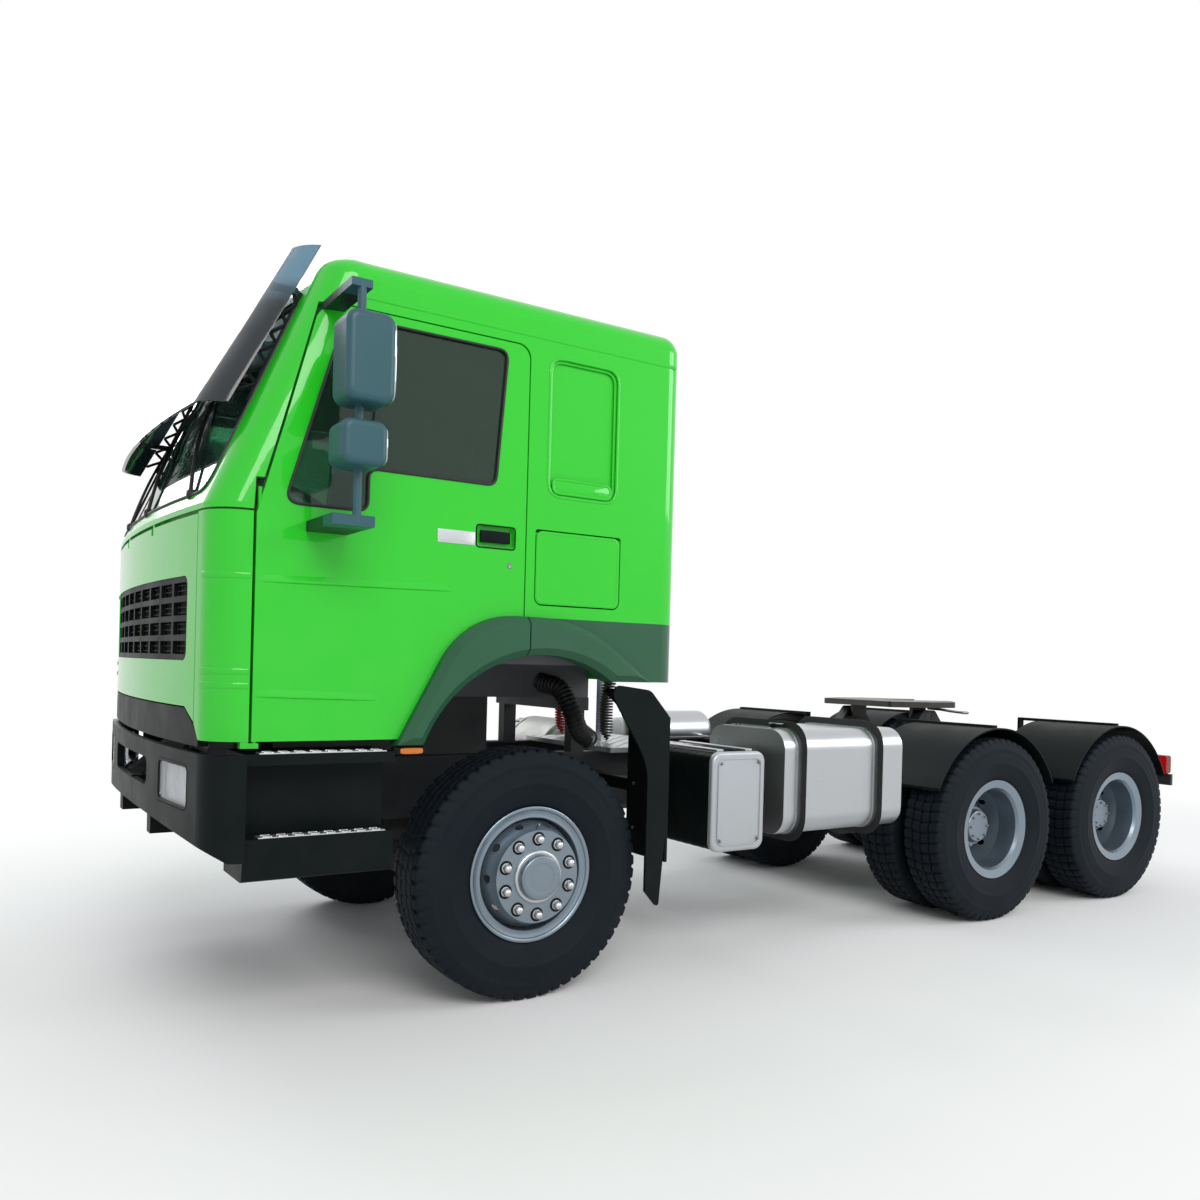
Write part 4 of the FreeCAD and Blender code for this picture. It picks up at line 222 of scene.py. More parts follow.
def plate_loop(wide, thick, round_off):
    """A rounded bar section: cosine and sine raised to a power, wide across and thick up."""
    angle = np.linspace(0, TURN, 16, endpoint=False)
    return np.stack([signed_power(np.cos(angle), round_off) * wide / 2,
                     signed_power(np.sin(angle), round_off) * thick / 2], 1)


def rounded_outline(corners, radius, steps=7):
    """A closed outline of (a, b) corners, each turned off along a curve.

    The curve is (1 - t)^2 start + 2 t (1 - t) corner + t^2 end, between the points where an arc would touch.
    """
    corners = np.asarray(corners, float)
    before = np.roll(corners, 1, 0) - corners
    after = np.roll(corners, -1, 0) - corners
    before /= np.linalg.norm(before, axis=1, keepdims=True)
    after /= np.linalg.norm(after, axis=1, keepdims=True)
    half = np.arccos(np.clip((before * after).sum(1), -1, 1)) / 2
    reach = radius / np.tan(half)
    t = np.linspace(0, 1, steps)[None, :, None]
    start = corners + before * reach[:, None]
    end = corners + after * reach[:, None]
    loop = (1 - t) ** 2 * start[:, None] + 2 * t * (1 - t) * corners[:, None] + t ** 2 * end[:, None]
    return loop.reshape(-1, 2)


def rounded_box(low_a, high_a, low_b, high_b, radius, steps=7):
    """The same for an upright rectangle between two distances each way."""
    corners = [(low_a, low_b), (high_a, low_b), (high_a, high_b), (low_a, high_b)]
    return rounded_outline(corners, radius, steps)


def at_side(outline, y):
    """A side-view outline of (x, z) points set at one distance from the middle plane."""
    outline = np.asarray(outline, float)
    return np.column_stack([outline[:, 0], np.full(len(outline), y), outline[:, 1]])


def dense(outline, step=0.03):
    """The same closed outline with more points along its straight runs."""
    outline = np.asarray(outline, float)
    rows = []
    for a, b in zip(outline, np.roll(outline, -1, 0)):
        count = max(1, int(np.linalg.norm(b - a) / step))
        rows.append(a + (b - a) * np.arange(count)[:, None] / count)
    return np.vstack(rows)


def bead(outline, y, wide, proud, round_off=0.8):
    """A rounded bead run round a side outline."""
    path = at_side(dense(outline), y)
    return along_path(path, plate_loop(wide, proud, round_off), closed=True, up=(0, 1, 0))


def lid_shape(outline, y_low, y_high, soft=0.006):
    """A side-view outline given thickness between two distances, its outer rim drawn in by soft."""
    outline = np.asarray(outline, float)
    middle = (outline.min(0) + outline.max(0)) / 2
    span = (outline.max(0) - outline.min(0)) / 2
    layers = [(1.0, y_low), (1.0, y_high - soft), (0.7, y_high - 0.3 * soft), (0.0, y_high)]
    rows = []
    for ease, y in layers:
        rows.append(at_side(middle + (outline - middle) * (1 - soft * (1 - ease) / span), y))
    return closed_grid(np.array(rows))


def repeated(shape, places, turns=None):
    """One small shape at many places, each with its own turn matrix, as one mesh."""
    verts, faces = shape
    verts = np.asarray(verts, float)
    parts = []
    for index, place in enumerate(places):
        turn = np.eye(3) if turns is None else turns[index]
        parts.append((verts @ np.asarray(turn).T + place, faces))
    return joined(*parts)


def polar_places(count, radius, y, x, z):
    """Equal steps round a circle that lies square to Y."""
    angle = np.linspace(0, TURN, count, endpoint=False)
    return np.stack([x + radius * np.sin(angle), np.full(count, y), z + radius * np.cos(angle)], 1)


SHARP_DEGREES = 42


def mesh_of(name, shape):
    """A mesh of that name from points and faces."""
    verts, faces = shape
    mesh = bpy.data.meshes.new(name)
    mesh.from_pydata(np.asarray(verts, float).tolist(), [], [[int(i) for i in face] for face in faces])
    return mesh


def piece(name, shape, body, material):
    """Puts a shape into the scene, in its material, riding on its body.

    An edge is drawn sharp where the faces beside it turn by more than SHARP_DEGREES.
    """
    mesh = mesh_of(name, shape)
    shell = bmesh.new()
    shell.from_mesh(mesh)
    bmesh.ops.remove_doubles(shell, verts=shell.verts, dist=1e-6)
    bmesh.ops.recalc_face_normals(shell, faces=shell.faces)
    shell.to_mesh(mesh)
    shell.free()
    mesh.shade_smooth()
    mesh.set_sharp_from_angle(angle=math.radians(SHARP_DEGREES))
    thing = bpy.data.objects.new(name, mesh)
    bpy.context.collection.objects.link(thing)
    mesh.materials.append(material)
    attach(thing, body)
    return thing


def pair(name, shape, bodies, material):
    """A left piece and its mirror image on the right; SIDE in the bodies' name stands for either side."""
    left = piece(name + "_left", shape, bodies.replace("SIDE", "left"), material)
    right = piece(name + "_right", mirrored(shape), bodies.replace("SIDE", "right"), material)
    return left, right


# Shader groups

SOCKETS = {"value": "NodeSocketFloat", "colour": "NodeSocketColor", "vector": "NodeSocketVector"}


def new_group(name, inputs, outputs):
    """An empty node group with named inputs and outputs, and its two end nodes."""
    tree = bpy.data.node_groups.new(name, "ShaderNodeTree")
    for label, kind, start in inputs:
        socket = tree.interface.new_socket(name=label, in_out="INPUT", socket_type=SOCKETS[kind])
        if start is not None:
            socket.default_value = start
    for label, kind in outputs:
        tree.interface.new_socket(name=label, in_out="OUTPUT", socket_type=SOCKETS[kind])
    return tree, tree.nodes.new("NodeGroupInput").outputs, tree.nodes.new("NodeGroupOutput").inputs


def feed(tree, node, inputs):
    """Sets a node's inputs to values, or links them to outputs."""
    for key, source in inputs.items():
        if isinstance(source, bpy.types.NodeSocket):
            tree.links.new(source, node.inputs[key])
        else:
            node.inputs[key].default_value = source
    return node


def put(tree, kind, inputs=None, **settings):
    """A node with its settings and its inputs."""
    node = tree.nodes.new("ShaderNode" + kind)
    for key, setting in settings.items():
        setattr(node, key, setting)
    return feed(tree, node, inputs or {})


def maths(tree, operation, a, b=0.0, clamp=False):
    """One step of arithmetic on two values."""
    return put(tree, "Math", {0: a, 1: b}, operation=operation, use_clamp=clamp).outputs[0]


def colour_mix(tree, factor, a, b):
    """A colour between two others: the first at 0, the second at 1."""
    return put(tree, "Mix", {0: factor, 6: a, 7: b}, data_type="RGBA").outputs[2]


def noise(tree, vector, scale, detail=3.0, rough=0.55):
    """Soft noise about 0.5."""
    return put(tree, "TexNoise", {"Vector": vector, "Scale": scale, "Detail": detail,
                                  "Roughness": rough}).outputs["Fac"]


def stretch(tree, vector, factors):
    """A vector with each axis times its own factor."""
    return put(tree, "Mapping", {"Vector": vector, "Scale": factors}).outputs[0]


def remap(tree, source, low, high, to_low=0.0, to_high=1.0):
    """A value's run from low to high carried over to another run, held at its ends."""
    return put(tree, "MapRange", {"Value": source, "From Min": low, "From Max": high, "To Min": to_low,
                                  "To Max": to_high}).outputs[0]


def mottle_group():
    """Slow light and dark drift of a colour: noise turned into a factor on its value."""
    tree, given, out = new_group("colour_drift", [("Vector", "vector", None), ("Colour", "colour", None),
                                                  ("Strength", "value", 0.1), ("Scale", "value", 3.0)],
                                 [("Colour", "colour"), ("Mask", "value")])
    drift = noise(tree, given["Vector"], given["Scale"], 4.0)
    swing = maths(tree, "MULTIPLY", maths(tree, "SUBTRACT", drift, 0.5), given["Strength"])
    factor = maths(tree, "ADD", 1.0, swing)
    shade = put(tree, "HueSaturation", {"Color": given["Colour"], "Value": factor})
    tree.links.new(shade.outputs[0], out["Colour"])
    tree.links.new(drift, out["Mask"])
    return tree


def dust_group():
    """Road dust: thick low down, fading with height, broken up by noise and fine specks."""
    tree, given, out = new_group("road_dust", [
        ("Vector", "vector", None), ("Colour", "colour", None), ("Dust", "colour", (0.42, 0.38, 0.32, 1)),
        ("Roughness", "value", 0.4), ("Amount", "value", 0.5), ("Low", "value", 0.0), ("High", "value", 1.6)],
        [("Colour", "colour"), ("Roughness", "value"), ("Mask", "value")])
    height = put(tree, "SeparateXYZ", {0: given["Vector"]}).outputs["Z"]
    fade = remap(tree, height, given["Low"], given["High"], 1.0, 0.0)
    broad = remap(tree, noise(tree, given["Vector"], 5.0, 5.0), 0.35, 0.7)
    specks = remap(tree, noise(tree, given["Vector"], 160.0, 2.0), 0.4, 0.75)
    both = maths(tree, "ADD", maths(tree, "MULTIPLY", broad, 0.7), maths(tree, "MULTIPLY", specks, 0.3))
    mask = maths(tree, "MULTIPLY", maths(tree, "MULTIPLY", fade, both), given["Amount"], clamp=True)
    tree.links.new(colour_mix(tree, mask, given["Colour"], given["Dust"]), out["Colour"])
    rise = maths(tree, "MULTIPLY", mask, 0.45)
    tree.links.new(maths(tree, "ADD", given["Roughness"], rise, clamp=True), out["Roughness"])
    tree.links.new(mask, out["Mask"])
    return tree


def grain_group():
    """Moulded plastic grain: small cells with their edges softened by noise."""
    tree, given, out = new_group("moulded_grain", [("Vector", "vector", None), ("Scale", "value", 600.0)],
                                 [("Height", "value")])
    cells = put(tree, "TexVoronoi", {"Vector": given["Vector"], "Scale": given["Scale"]},
                feature="SMOOTH_F1").outputs["Distance"]
    soft = noise(tree, given["Vector"], given["Scale"], 2.0)
    height = maths(tree, "ADD", maths(tree, "MULTIPLY", cells, 0.6), maths(tree, "MULTIPLY", soft, 0.4))
    tree.links.new(height, out["Height"])
    return tree


def scuff_group():
    """Fine rubbed lines: noise drawn out along one direction and cut off high."""
    tree, given, out = new_group("rubbed_lines", [("Vector", "vector", None), ("Amount", "value", 0.3),
                                                  ("Scale", "value", 6.0)],
                                 [("Mask", "value"), ("Height", "value")])
    along = put(tree, "VectorMath", {0: stretch(tree, given["Vector"], (3.0, 30.0, 60.0)), 3: given["Scale"]},
                operation="SCALE").outputs[0]
    lines = noise(tree, along, 1.0, 4.0, 0.7)
    patch = remap(tree, noise(tree, given["Vector"], 2.5, 3.0), 0.45, 0.7)
    mask = maths(tree, "MULTIPLY", maths(tree, "MULTIPLY", remap(tree, lines, 0.55, 0.75), patch),
                 given["Amount"], clamp=True)
    tree.links.new(mask, out["Mask"])
    tree.links.new(lines, out["Height"])
    return tree


def weave_group():
    """Woven cloth: fine waves across each axis, multiplied where they cross."""
    tree, given, out = new_group("woven_cloth", [("Vector", "vector", None), ("Colour", "colour", None),
                                                 ("Thread", "colour", (0.1, 0.1, 0.1, 1)),
                                                 ("Scale", "value", 220.0)],
                                 [("Colour", "colour"), ("Height", "value")])

    def threads(vector, direction):
        """Fine bands across one axis."""
        return put(tree, "TexWave", {"Vector": vector, "Scale": given["Scale"], "Distortion": 0.4},
                   bands_direction=direction).outputs["Fac"]

    warp = threads(given["Vector"], "Y")
    weft = threads(stretch(tree, given["Vector"], (1.0, 1.0, 0.9)), "Z")
    both = maths(tree, "MULTIPLY", warp, maths(tree, "MAXIMUM", weft, threads(given["Vector"], "X")))
    tree.links.new(colour_mix(tree, both, given["Thread"], given["Colour"]), out["Colour"])
    tree.links.new(both, out["Height"])
    return tree


GROUPS = {"drift": mottle_group(), "dust": dust_group(), "grain": grain_group(), "scuffs": scuff_group(),
          "weave": weave_group()}


def use_group(tree, key, inputs):
    """One of the groups placed in a material, with its own values."""
    node = tree.nodes.new("ShaderNodeGroup")
    node.node_tree = GROUPS[key]
    return feed(tree, node, inputs).outputs


def srgb(red, green, blue):
    """A colour written in 0 to 255 as linear light."""
    share = np.array([red, green, blue]) / 255
    light = np.where(share <= 0.04045, share / 12.92, ((share + 0.055) / 1.055) ** 2.4)
    return (*light.tolist(), 1.0)


def new_material(name):
    """An empty material, with its shader and the object's own coordinates."""
    material = bpy.data.materials.new(name)
    material.use_nodes = True
    tree = material.node_tree
    shader = tree.nodes["Principled BSDF"]
    place = tree.nodes.new("ShaderNodeTexCoord").outputs["Object"]
    return material, tree, shader, place


def two_tone(tree, place, low_colour, high_colour, z_start, z_end, y_inner=None, inner_pair=None):
    """One colour low down and another above a height.

    Nearer the middle plane than y_inner, another such pair of colours holds.
    """
    axes = put(tree, "SeparateXYZ", {0: place}).outputs
    high = remap(tree, axes[2], z_start, z_end)
    colour = colour_mix(tree, high, low_colour, high_colour)
    if y_inner is None:
        return colour
    inner = maths(tree, "LESS_THAN", maths(tree, "ABSOLUTE", axes[1]), y_inner)
    return colour_mix(tree, inner, colour, colour_mix(tree, high, *inner_pair))


def rough_bump(tree, shader, height, distance, strength):
    """A bump on the shader's normal."""
    normal = put(tree, "Bump", {"Height": height, "Distance": distance, "Strength": strength})
    tree.links.new(normal.outputs[0], shader.inputs["Normal"])


def plain_inputs(shader, numbers):
    """Sets the shader's own inputs, named with _ for a space."""
    for label, number in numbers.items():
        shader.inputs[label.replace("_", " ")].default_value = number


def finish(name, colour, roughness, drift=(0.15, 3.0), dust=None, grain=None, scuffs=None, bump=0.0004,
           scuff_colour=None, above=None, **sockets):
    """A worked surface: drifting colour, rubbed lines, road dust and a grained or brushed height."""
    material, tree, shader, place = new_material(name)
    if above:
        colour = two_tone(tree, place, colour, *above)
    strength, scale = drift
    base = use_group(tree, "drift", {"Vector": place, "Colour": colour, "Strength": strength, "Scale": scale})
    hue = base["Colour"]
    gloss = remap(tree, base["Mask"], 0.3, 0.7, roughness * 0.88, roughness * 1.12)
    height = None
    if scuffs:
        rubbed = use_group(tree, "scuffs", {"Vector": place, "Amount": scuffs[0], "Scale": scuffs[1]})
        hue = colour_mix(tree, rubbed["Mask"], hue, scuff_colour or srgb(150, 150, 148))
        height = rubbed["Height"]
    if grain:
        height = use_group(tree, "grain", {"Vector": place, "Scale": grain})["Height"]
    if dust:
        amount, low, high, tint = dust
        laid = use_group(tree, "dust", {"Vector": place, "Colour": hue, "Roughness": gloss, "Amount": amount,
                                        "Low": low, "High": high, "Dust": tint})
        hue, gloss = laid["Colour"], laid["Roughness"]
    if height is not None:
        rough_bump(tree, shader, height, bump, 0.6)
    tree.links.new(hue, shader.inputs["Base Color"])
    tree.links.new(gloss, shader.inputs["Roughness"])
    plain_inputs(shader, sockets)
    return material


# Finishes

GREY_DUST = srgb(150, 142, 130)
PALE_DUST = srgb(176, 170, 160)
LEAF = srgb(35, 193, 33)
OLIVE = srgb(36, 84, 58)
PAINT_SHEEN = {"Specular_IOR_Level": 0.15, "Coat_Weight": 0.75, "Coat_Roughness": 0.05}

PAINT = finish("leaf_green_paint", LEAF, 0.36, drift=(0.05, 1.4), dust=(0.04, 1.1, 2.0, PALE_DUST),
               grain=900.0, bump=0.00004, **PAINT_SHEEN)
BACK_PAINT = finish("back_panel_two_tone", OLIVE, 0.36, drift=(0.05, 1.4), grain=900.0, bump=0.00004,
                    above=(LEAF, FLARE_TOP_Z - 0.001, FLARE_TOP_Z + 0.001, 1.075, (LEAF, LEAF)),
                    **PAINT_SHEEN)
FLARE = finish("olive_moulding", OLIVE, 0.42, drift=(0.16, 6.0), dust=(0.06, 0.9, 1.8, GREY_DUST),
               grain=520.0, bump=0.0003, Specular_IOR_Level=0.35)
FITTINGS = finish("mirror_and_flare_moulding", OLIVE, 0.40, drift=(0.16, 6.0), grain=520.0, bump=0.0003,
                  above=(srgb(46, 84, 93), 1.84, 1.90, 1.375, (OLIVE, srgb(16, 30, 34))),
                  Specular_IOR_Level=0.35)
MOULDING = finish("black_moulding", srgb(9, 17, 18), 0.46, drift=(0.25, 5.0),
                  dust=(0.025, 0.3, 1.5, GREY_DUST), grain=420.0, bump=0.0004, Specular_IOR_Level=0.10)
# Near-black: painted shade in the lamp recess, behind the grille and in the silencer's slots, and the real
# black of grease, dials and mesh wires.
SHADE_AND_BLACK_PARTS = finish("painted_shade_and_black_parts", srgb(11, 12, 14), 0.62, drift=(0.3, 9.0), grain=300.0,
                  Specular_IOR_Level=0.2)
CHASSIS = finish("frame_enamel", srgb(34, 37, 42), 0.44, drift=(0.2, 4.0), dust=(0.16, 0.2, 1.6, GREY_DUST),
                 grain=180.0, bump=0.0005, Specular_IOR_Level=0.35)
IRON = finish("cast_iron_grey", srgb(60, 62, 64), 0.58, drift=(0.35, 7.0), dust=(0.2, 0.3, 1.7, GREY_DUST),
              grain=140.0, bump=0.0012, Metallic=0.35)
SILVER = finish("wheel_silver_paint", srgb(124, 138, 150), 0.32, drift=(0.14, 8.0),
                dust=(0.2, 0.1, 1.15, GREY_DUST), grain=700.0, bump=0.00008, Metallic=0.75, Coat_Weight=0.3,
                Coat_Roughness=0.15)
COVER = finish("cover_silver_paint", srgb(176, 181, 186), 0.38, drift=(0.14, 5.0),
               dust=(0.55, 0.5, 1.0, GREY_DUST), grain=620.0, bump=0.00015, Metallic=0.45, Coat_Weight=0.2,
               Coat_Roughness=0.2)
ALUMINIUM = finish("brushed_aluminium", srgb(188, 191, 194), 0.3, drift=(0.1, 5.0),
                   dust=(0.28, 0.4, 1.3, GREY_DUST), scuffs=(0.25, 8.0), scuff_colour=srgb(225, 227, 230),
                   bump=0.00012, Metallic=0.95)
BRIGHT = finish("tread_edge_alloy", srgb(200, 202, 205), 0.3, drift=(0.12, 12.0),
                dust=(0.2, 0.5, 1.4, GREY_DUST), scuffs=(0.4, 12.0), scuff_colour=srgb(240, 240, 242),
                bump=0.0002, Metallic=0.9)
ZINC = finish("zinc_fastener", srgb(140, 143, 146), 0.4, drift=(0.2, 30.0), dust=(0.25, 0.2, 1.6, GREY_DUST),
              grain=500.0, bump=0.0002, Metallic=0.85)
SILENCER = finish("silencer_skin", srgb(128, 128, 126), 0.46, drift=(0.25, 6.0),
                  dust=(0.4, 0.4, 1.3, GREY_DUST), scuffs=(0.3, 5.0), bump=0.0003, Metallic=0.7)
COUPLING = finish("greased_steel", srgb(70, 68, 64), 0.36, drift=(0.5, 10.0), scuffs=(0.7, 4.0),
                  scuff_colour=srgb(150, 146, 138), bump=0.0006, Metallic=0.75)
CABIN = finish("cabin_moulding", srgb(78, 80, 84), 0.52, drift=(0.12, 4.0), grain=520.0, bump=0.0005)
GRIP = finish("rim_leather", srgb(30, 30, 32), 0.48, drift=(0.2, 14.0), grain=380.0, bump=0.0006)
SEAL = finish("window_rubber", srgb(16, 17, 18), 0.58, drift=(0.25, 12.0), grain=700.0, bump=0.0003)
LABEL = finish("bare_strip_silver", srgb(196, 200, 204), 0.3, drift=(0.06, 9.0), grain=800.0, bump=0.00005,
               Metallic=0.5, Coat_Weight=0.4)
REFLECTOR = finish("lamp_reflector", srgb(205, 208, 212), 0.14, drift=(0.08, 30.0), grain=260.0, bump=0.0003,
                   Metallic=1.0)
RIPPLE = 0.00003
GLASS_IOR = 1.45


def glass_finish(name, colour, transmission, roughness, above=None, **sockets):
    """Clear or tinted glass: a faint drift of tint and a very slight ripple."""
    material, tree, shader, place = new_material(name)
    if above:
        colour = two_tone(tree, place, colour, *above)
    tint = use_group(tree, "drift", {"Vector": place, "Colour": colour, "Strength": 0.06, "Scale": 2.0})
    tree.links.new(tint["Colour"], shader.inputs["Base Color"])
    rough_bump(tree, shader, noise(tree, place, 6.0, 1.0), RIPPLE, 0.4)
    plain_inputs(shader, {"Roughness": roughness, "Transmission Weight": transmission, "IOR": GLASS_IOR,
                          **sockets})
    return material


GLASS = glass_finish("cab_glazing", srgb(92, 140, 114), 0.92, 0.02)
# Smoked acrylic, dark below; from 2.90 m to 3.02 m it turns lighter blue-grey, a painted sky reflection on
# its rounded top.
VISOR = glass_finish("smoked_acrylic_painted_sky_top", srgb(34, 44, 50), 0.35, 0.10, above=(srgb(84, 118, 136), 2.90, 3.02),
                     Coat_Weight=0.2)
AMBER = glass_finish("amber_lens", srgb(255, 140, 20), 0.45, 0.12, Coat_Weight=0.5)
RED_HOSE = finish("red_air_line", srgb(168, 30, 26), 0.34, drift=(0.12, 20.0), grain=600.0, bump=0.0002)
BLUE_HOSE = finish("blue_air_line", srgb(30, 66, 150), 0.34, drift=(0.12, 20.0), grain=600.0, bump=0.0002)
MIRROR_GLASS = finish("mirror_silvering", srgb(190, 198, 206), 0.04, drift=(0.04, 3.0), grain=200.0,
                      bump=0.00001, Metallic=1.0)


def rubber_finish():
    """Tyre rubber: dark blue-black with a fine grain, greyer where dust lies."""
    material, tree, shader, place = new_material("tyre_rubber")
    base = use_group(tree, "drift", {"Vector": place, "Colour": srgb(13, 21, 28), "Strength": 0.3,
                                     "Scale": 9.0})
    dusty = use_group(tree, "dust", {"Vector": place, "Colour": base["Colour"], "Roughness": 0.66,
                                     "Dust": srgb(112, 108, 102), "Amount": 0.04, "Low": 0.0, "High": 1.4})
    grain = use_group(tree, "grain", {"Vector": place, "Scale": 240.0})
    rough_bump(tree, shader, grain["Height"], 0.0006, 0.5)
    tree.links.new(dusty["Colour"], shader.inputs["Base Color"])
    tree.links.new(dusty["Roughness"], shader.inputs["Roughness"])
    plain_inputs(shader, {"Specular IOR Level": 0.14})
    return material


def cloth_finish(name, colour, thread, scale):
    """Seat cloth: a woven face with a sheen, its threads catching a little light."""
    material, tree, shader, place = new_material(name)
    woven = use_group(tree, "weave", {"Vector": place, "Colour": colour, "Thread": thread, "Scale": scale})
    tone = use_group(tree, "drift", {"Vector": place, "Colour": woven["Colour"], "Strength": 0.2,
                                     "Scale": 5.0})
    tree.links.new(tone["Colour"], shader.inputs["Base Color"])
    rough_bump(tree, shader, woven["Height"], 0.0008, 0.5)
    plain_inputs(shader, {"Roughness": 0.85, "Sheen Weight": 0.25})
    return material


RUBBER = rubber_finish()
SEAT_CLOTH = cloth_finish("seat_cloth", srgb(84, 88, 96), srgb(40, 42, 48), 260.0)
BUNK_CLOTH = cloth_finish("bunk_cloth", srgb(120, 122, 126), srgb(82, 84, 90), 200.0)


def lamp_finish():
    """Fluted lamp covers: clear ahead; behind, red, then amber, then clear from the outside inwards."""
    material, tree, shader, place = new_material("fluted_lamp_covers")
    axes = put(tree, "SeparateXYZ", {0: place}).outputs
    reach = maths(tree, "ABSOLUTE", axes["Y"])
    clear, amber, red = srgb(228, 230, 232), srgb(240, 130, 24), srgb(170, 16, 14)
    inner = colour_mix(tree, maths(tree, "GREATER_THAN", reach, 0.90), clear, amber)
    rear = colour_mix(tree, maths(tree, "GREATER_THAN", reach, 1.0), inner, red)
    behind = maths(tree, "LESS_THAN", axes["X"], 0.0)
    hue = colour_mix(tree, behind, srgb(235, 240, 244), rear)
    drift = use_group(tree, "drift", {"Vector": place, "Colour": hue, "Strength": 0.08, "Scale": 12.0})
    flutes = maths(tree, "SINE", maths(tree, "MULTIPLY", axes["Y"], 420.0))
    tree.links.new(drift["Colour"], shader.inputs["Base Color"])
    rough_bump(tree, shader, flutes, 0.0006, 0.5)
    plain_inputs(shader, {"Roughness": 0.06, "IOR": GLASS_IOR, "Transmission Weight": 0.85})
    return material


NODE_FINISH = {
    "body_paint": PAINT, "flare_plastic": FLARE, "dark_plastic": MOULDING, "cab_glass": GLASS,
    "tinted_visor": VISOR, "chassis_paint": CHASSIS, "coupling_steel": COUPLING, "engine_iron": IRON,
    "box_paint": COVER, "tank_aluminium": ALUMINIUM, "silencer_steel": SILENCER, "lamp_cover": lamp_finish(),
    "cabin_plastic": CABIN, "seat_fabric": SEAT_CLOTH, "rim_grip": GRIP, "tyre_rubber": RUBBER,
    "wheel_silver": SILVER,
}

OWN_FINISH = {"door_fittings_left": FITTINGS, "door_fittings_right": FITTINGS, "cab_back": BACK_PAINT}
SLOT_OF = {row["node"]: row["material_slot"] for row in frame["record"]["subparts"]}
for node_name, node_object in frame["nodes"].items():
    coat = OWN_FINISH.get(node_name, NODE_FINISH[SLOT_OF[node_name]])
    node_object.data.materials.clear()
    node_object.data.materials.append(coat)


# Wheels

PITCHES = 56
PER_PITCH = 8
RING_GROOVE = 0.014
CROSS_GROOVE = 0.011
SHOULDER_STEP = 0.004
WAVE = 0.0022

# Half the width of a ring groove, and the places across it as shares of that; under 0.9 is its floor

GROOVE_HALF = 0.0062
GROOVE_EDGES = (-1.35, -1.0, -0.62, 0.62, 1.0, 1.35)
GROOVE_FLOOR = 0.9

# From bead to crown: radius, distance from the tyre's middle, and the share of a cross groove cut there

TYRE_SIDE = [(0.266, 0.100, 0), (0.285, 0.103, 0), (0.303, 0.1055, 0), (0.309, 0.116, 0),
             (0.322, 0.1225, 0), (0.345, 0.131, 0), (0.372, 0.1395, 0), (0.400, 0.1445, 0),
             (0.404, 0.1470, 0), (0.412, 0.1472, 0), (0.416, 0.1458, 0), (0.440, 0.1470, 0),
             (0.462, 0.1455, 0), (0.484, 0.1405, 0), (0.487, 0.1418, 0), (0.500, 0.1385, 0),
             (0.515, 0.1335, 0), (0.529, 0.1305, 0.4), (0.543, 0.1265, 0.9), (0.553, 0.1205, 1.0),
             (0.5575, 0.1160, 1.0), (0.5592, 0.1000, 1.0), (0.5600, 0.0860, 1.0)]
TYRE_INSIDE = [(0.30, -0.088), (0.42, -0.118), (0.52, -0.09), (0.538, 0.0), (0.52, 0.09), (0.42, 0.118),
               (0.30, 0.088)]


def tyre_surface(x, y, grooves, block):
    """A tyre as a closed surface of turn angle and distance round its section.

    The radius is the section's, less RING_GROOVE in a ring groove, and less CROSS_GROOVE where the turn is
    in the first quarter of a pitch, counted from a point that moves with the distance from the middle.
    The middle of the tread waves sideways by a sine of the turn. At the shoulder a cross groove is
    shallower by SHOULDER_STEP and is cut into the side by as much.
    """
    tread = [(0.5612 - 0.22 * centre ** 2, centre + edge * GROOVE_HALF, block, abs(edge) < GROOVE_FLOOR)
             for centre in grooves for edge in GROOVE_EDGES]
    tread.sort(key=lambda row: -row[1])
    half = [(*row, 0) for row in TYRE_SIDE]
    other_half = [(r, -d, cut, ring) for r, d, cut, ring in half[::-1]]
    section = np.array(half + tread + other_half + [(r, d, 0, 0) for r, d in TYRE_INSIDE])
    section_radius, across, cut, ring = section.T[:, None]
    count = PITCHES * PER_PITCH
    turn = np.linspace(0, TURN, count, endpoint=False)[:, None]
    phase = (np.arange(count) % PER_PITCH)[:, None]
    skew = (phase + np.round(np.abs(across) * 18)) % PER_PITCH
    cross = np.where(skew < 2, CROSS_GROOVE, 0.0) * cut
    wave = WAVE * np.sin(turn * PITCHES * 0.5) * (np.abs(across) < 0.1)
    shoulder = (np.abs(across) > 0.118) & (cut > 0)
    step = np.where(shoulder, SHOULDER_STEP * (cross > 0), 0)
    radius = section_radius - cross - ring * RING_GROOVE + step
    side = across + wave - np.sign(across) * step
    points = np.stack([x + radius * np.sin(turn), y + side, WHEEL_Z + radius * np.cos(turn)], 2)
    return closed_grid(points, wrap_rows=True)


def dress_tyres(name, node, bodies, x, y_list, grooves, block):
    """Treaded tyres on both sides, each in place of its smooth solid."""
    tyres = joined(*[tyre_surface(x, y, grooves, block) for y in y_list])
    for (side, _), tyre in zip(SIDES, pair(name, tyres, bodies, RUBBER)):
        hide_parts(f"{node}_{side}")


dress_tyres("tread_tyre_front", "tyre_front", "front_SIDE_wheel", AXLE_X, [1.011],
            (-0.078, -0.028, 0.028, 0.078), 0.35)
for number, (place, x) in enumerate(BOGIE_X.items(), start=1):
    dress_tyres(f"tread_tyres_{place}", f"tyre_rear_{number}", f"{place}_SIDE_wheels", x, [0.7425, 1.0875],
                (-0.06, 0.0, 0.06), 1.0)

# Rings of the front wheel as (radius, distance): the rim's rolled edge, and the collar and face of its cap

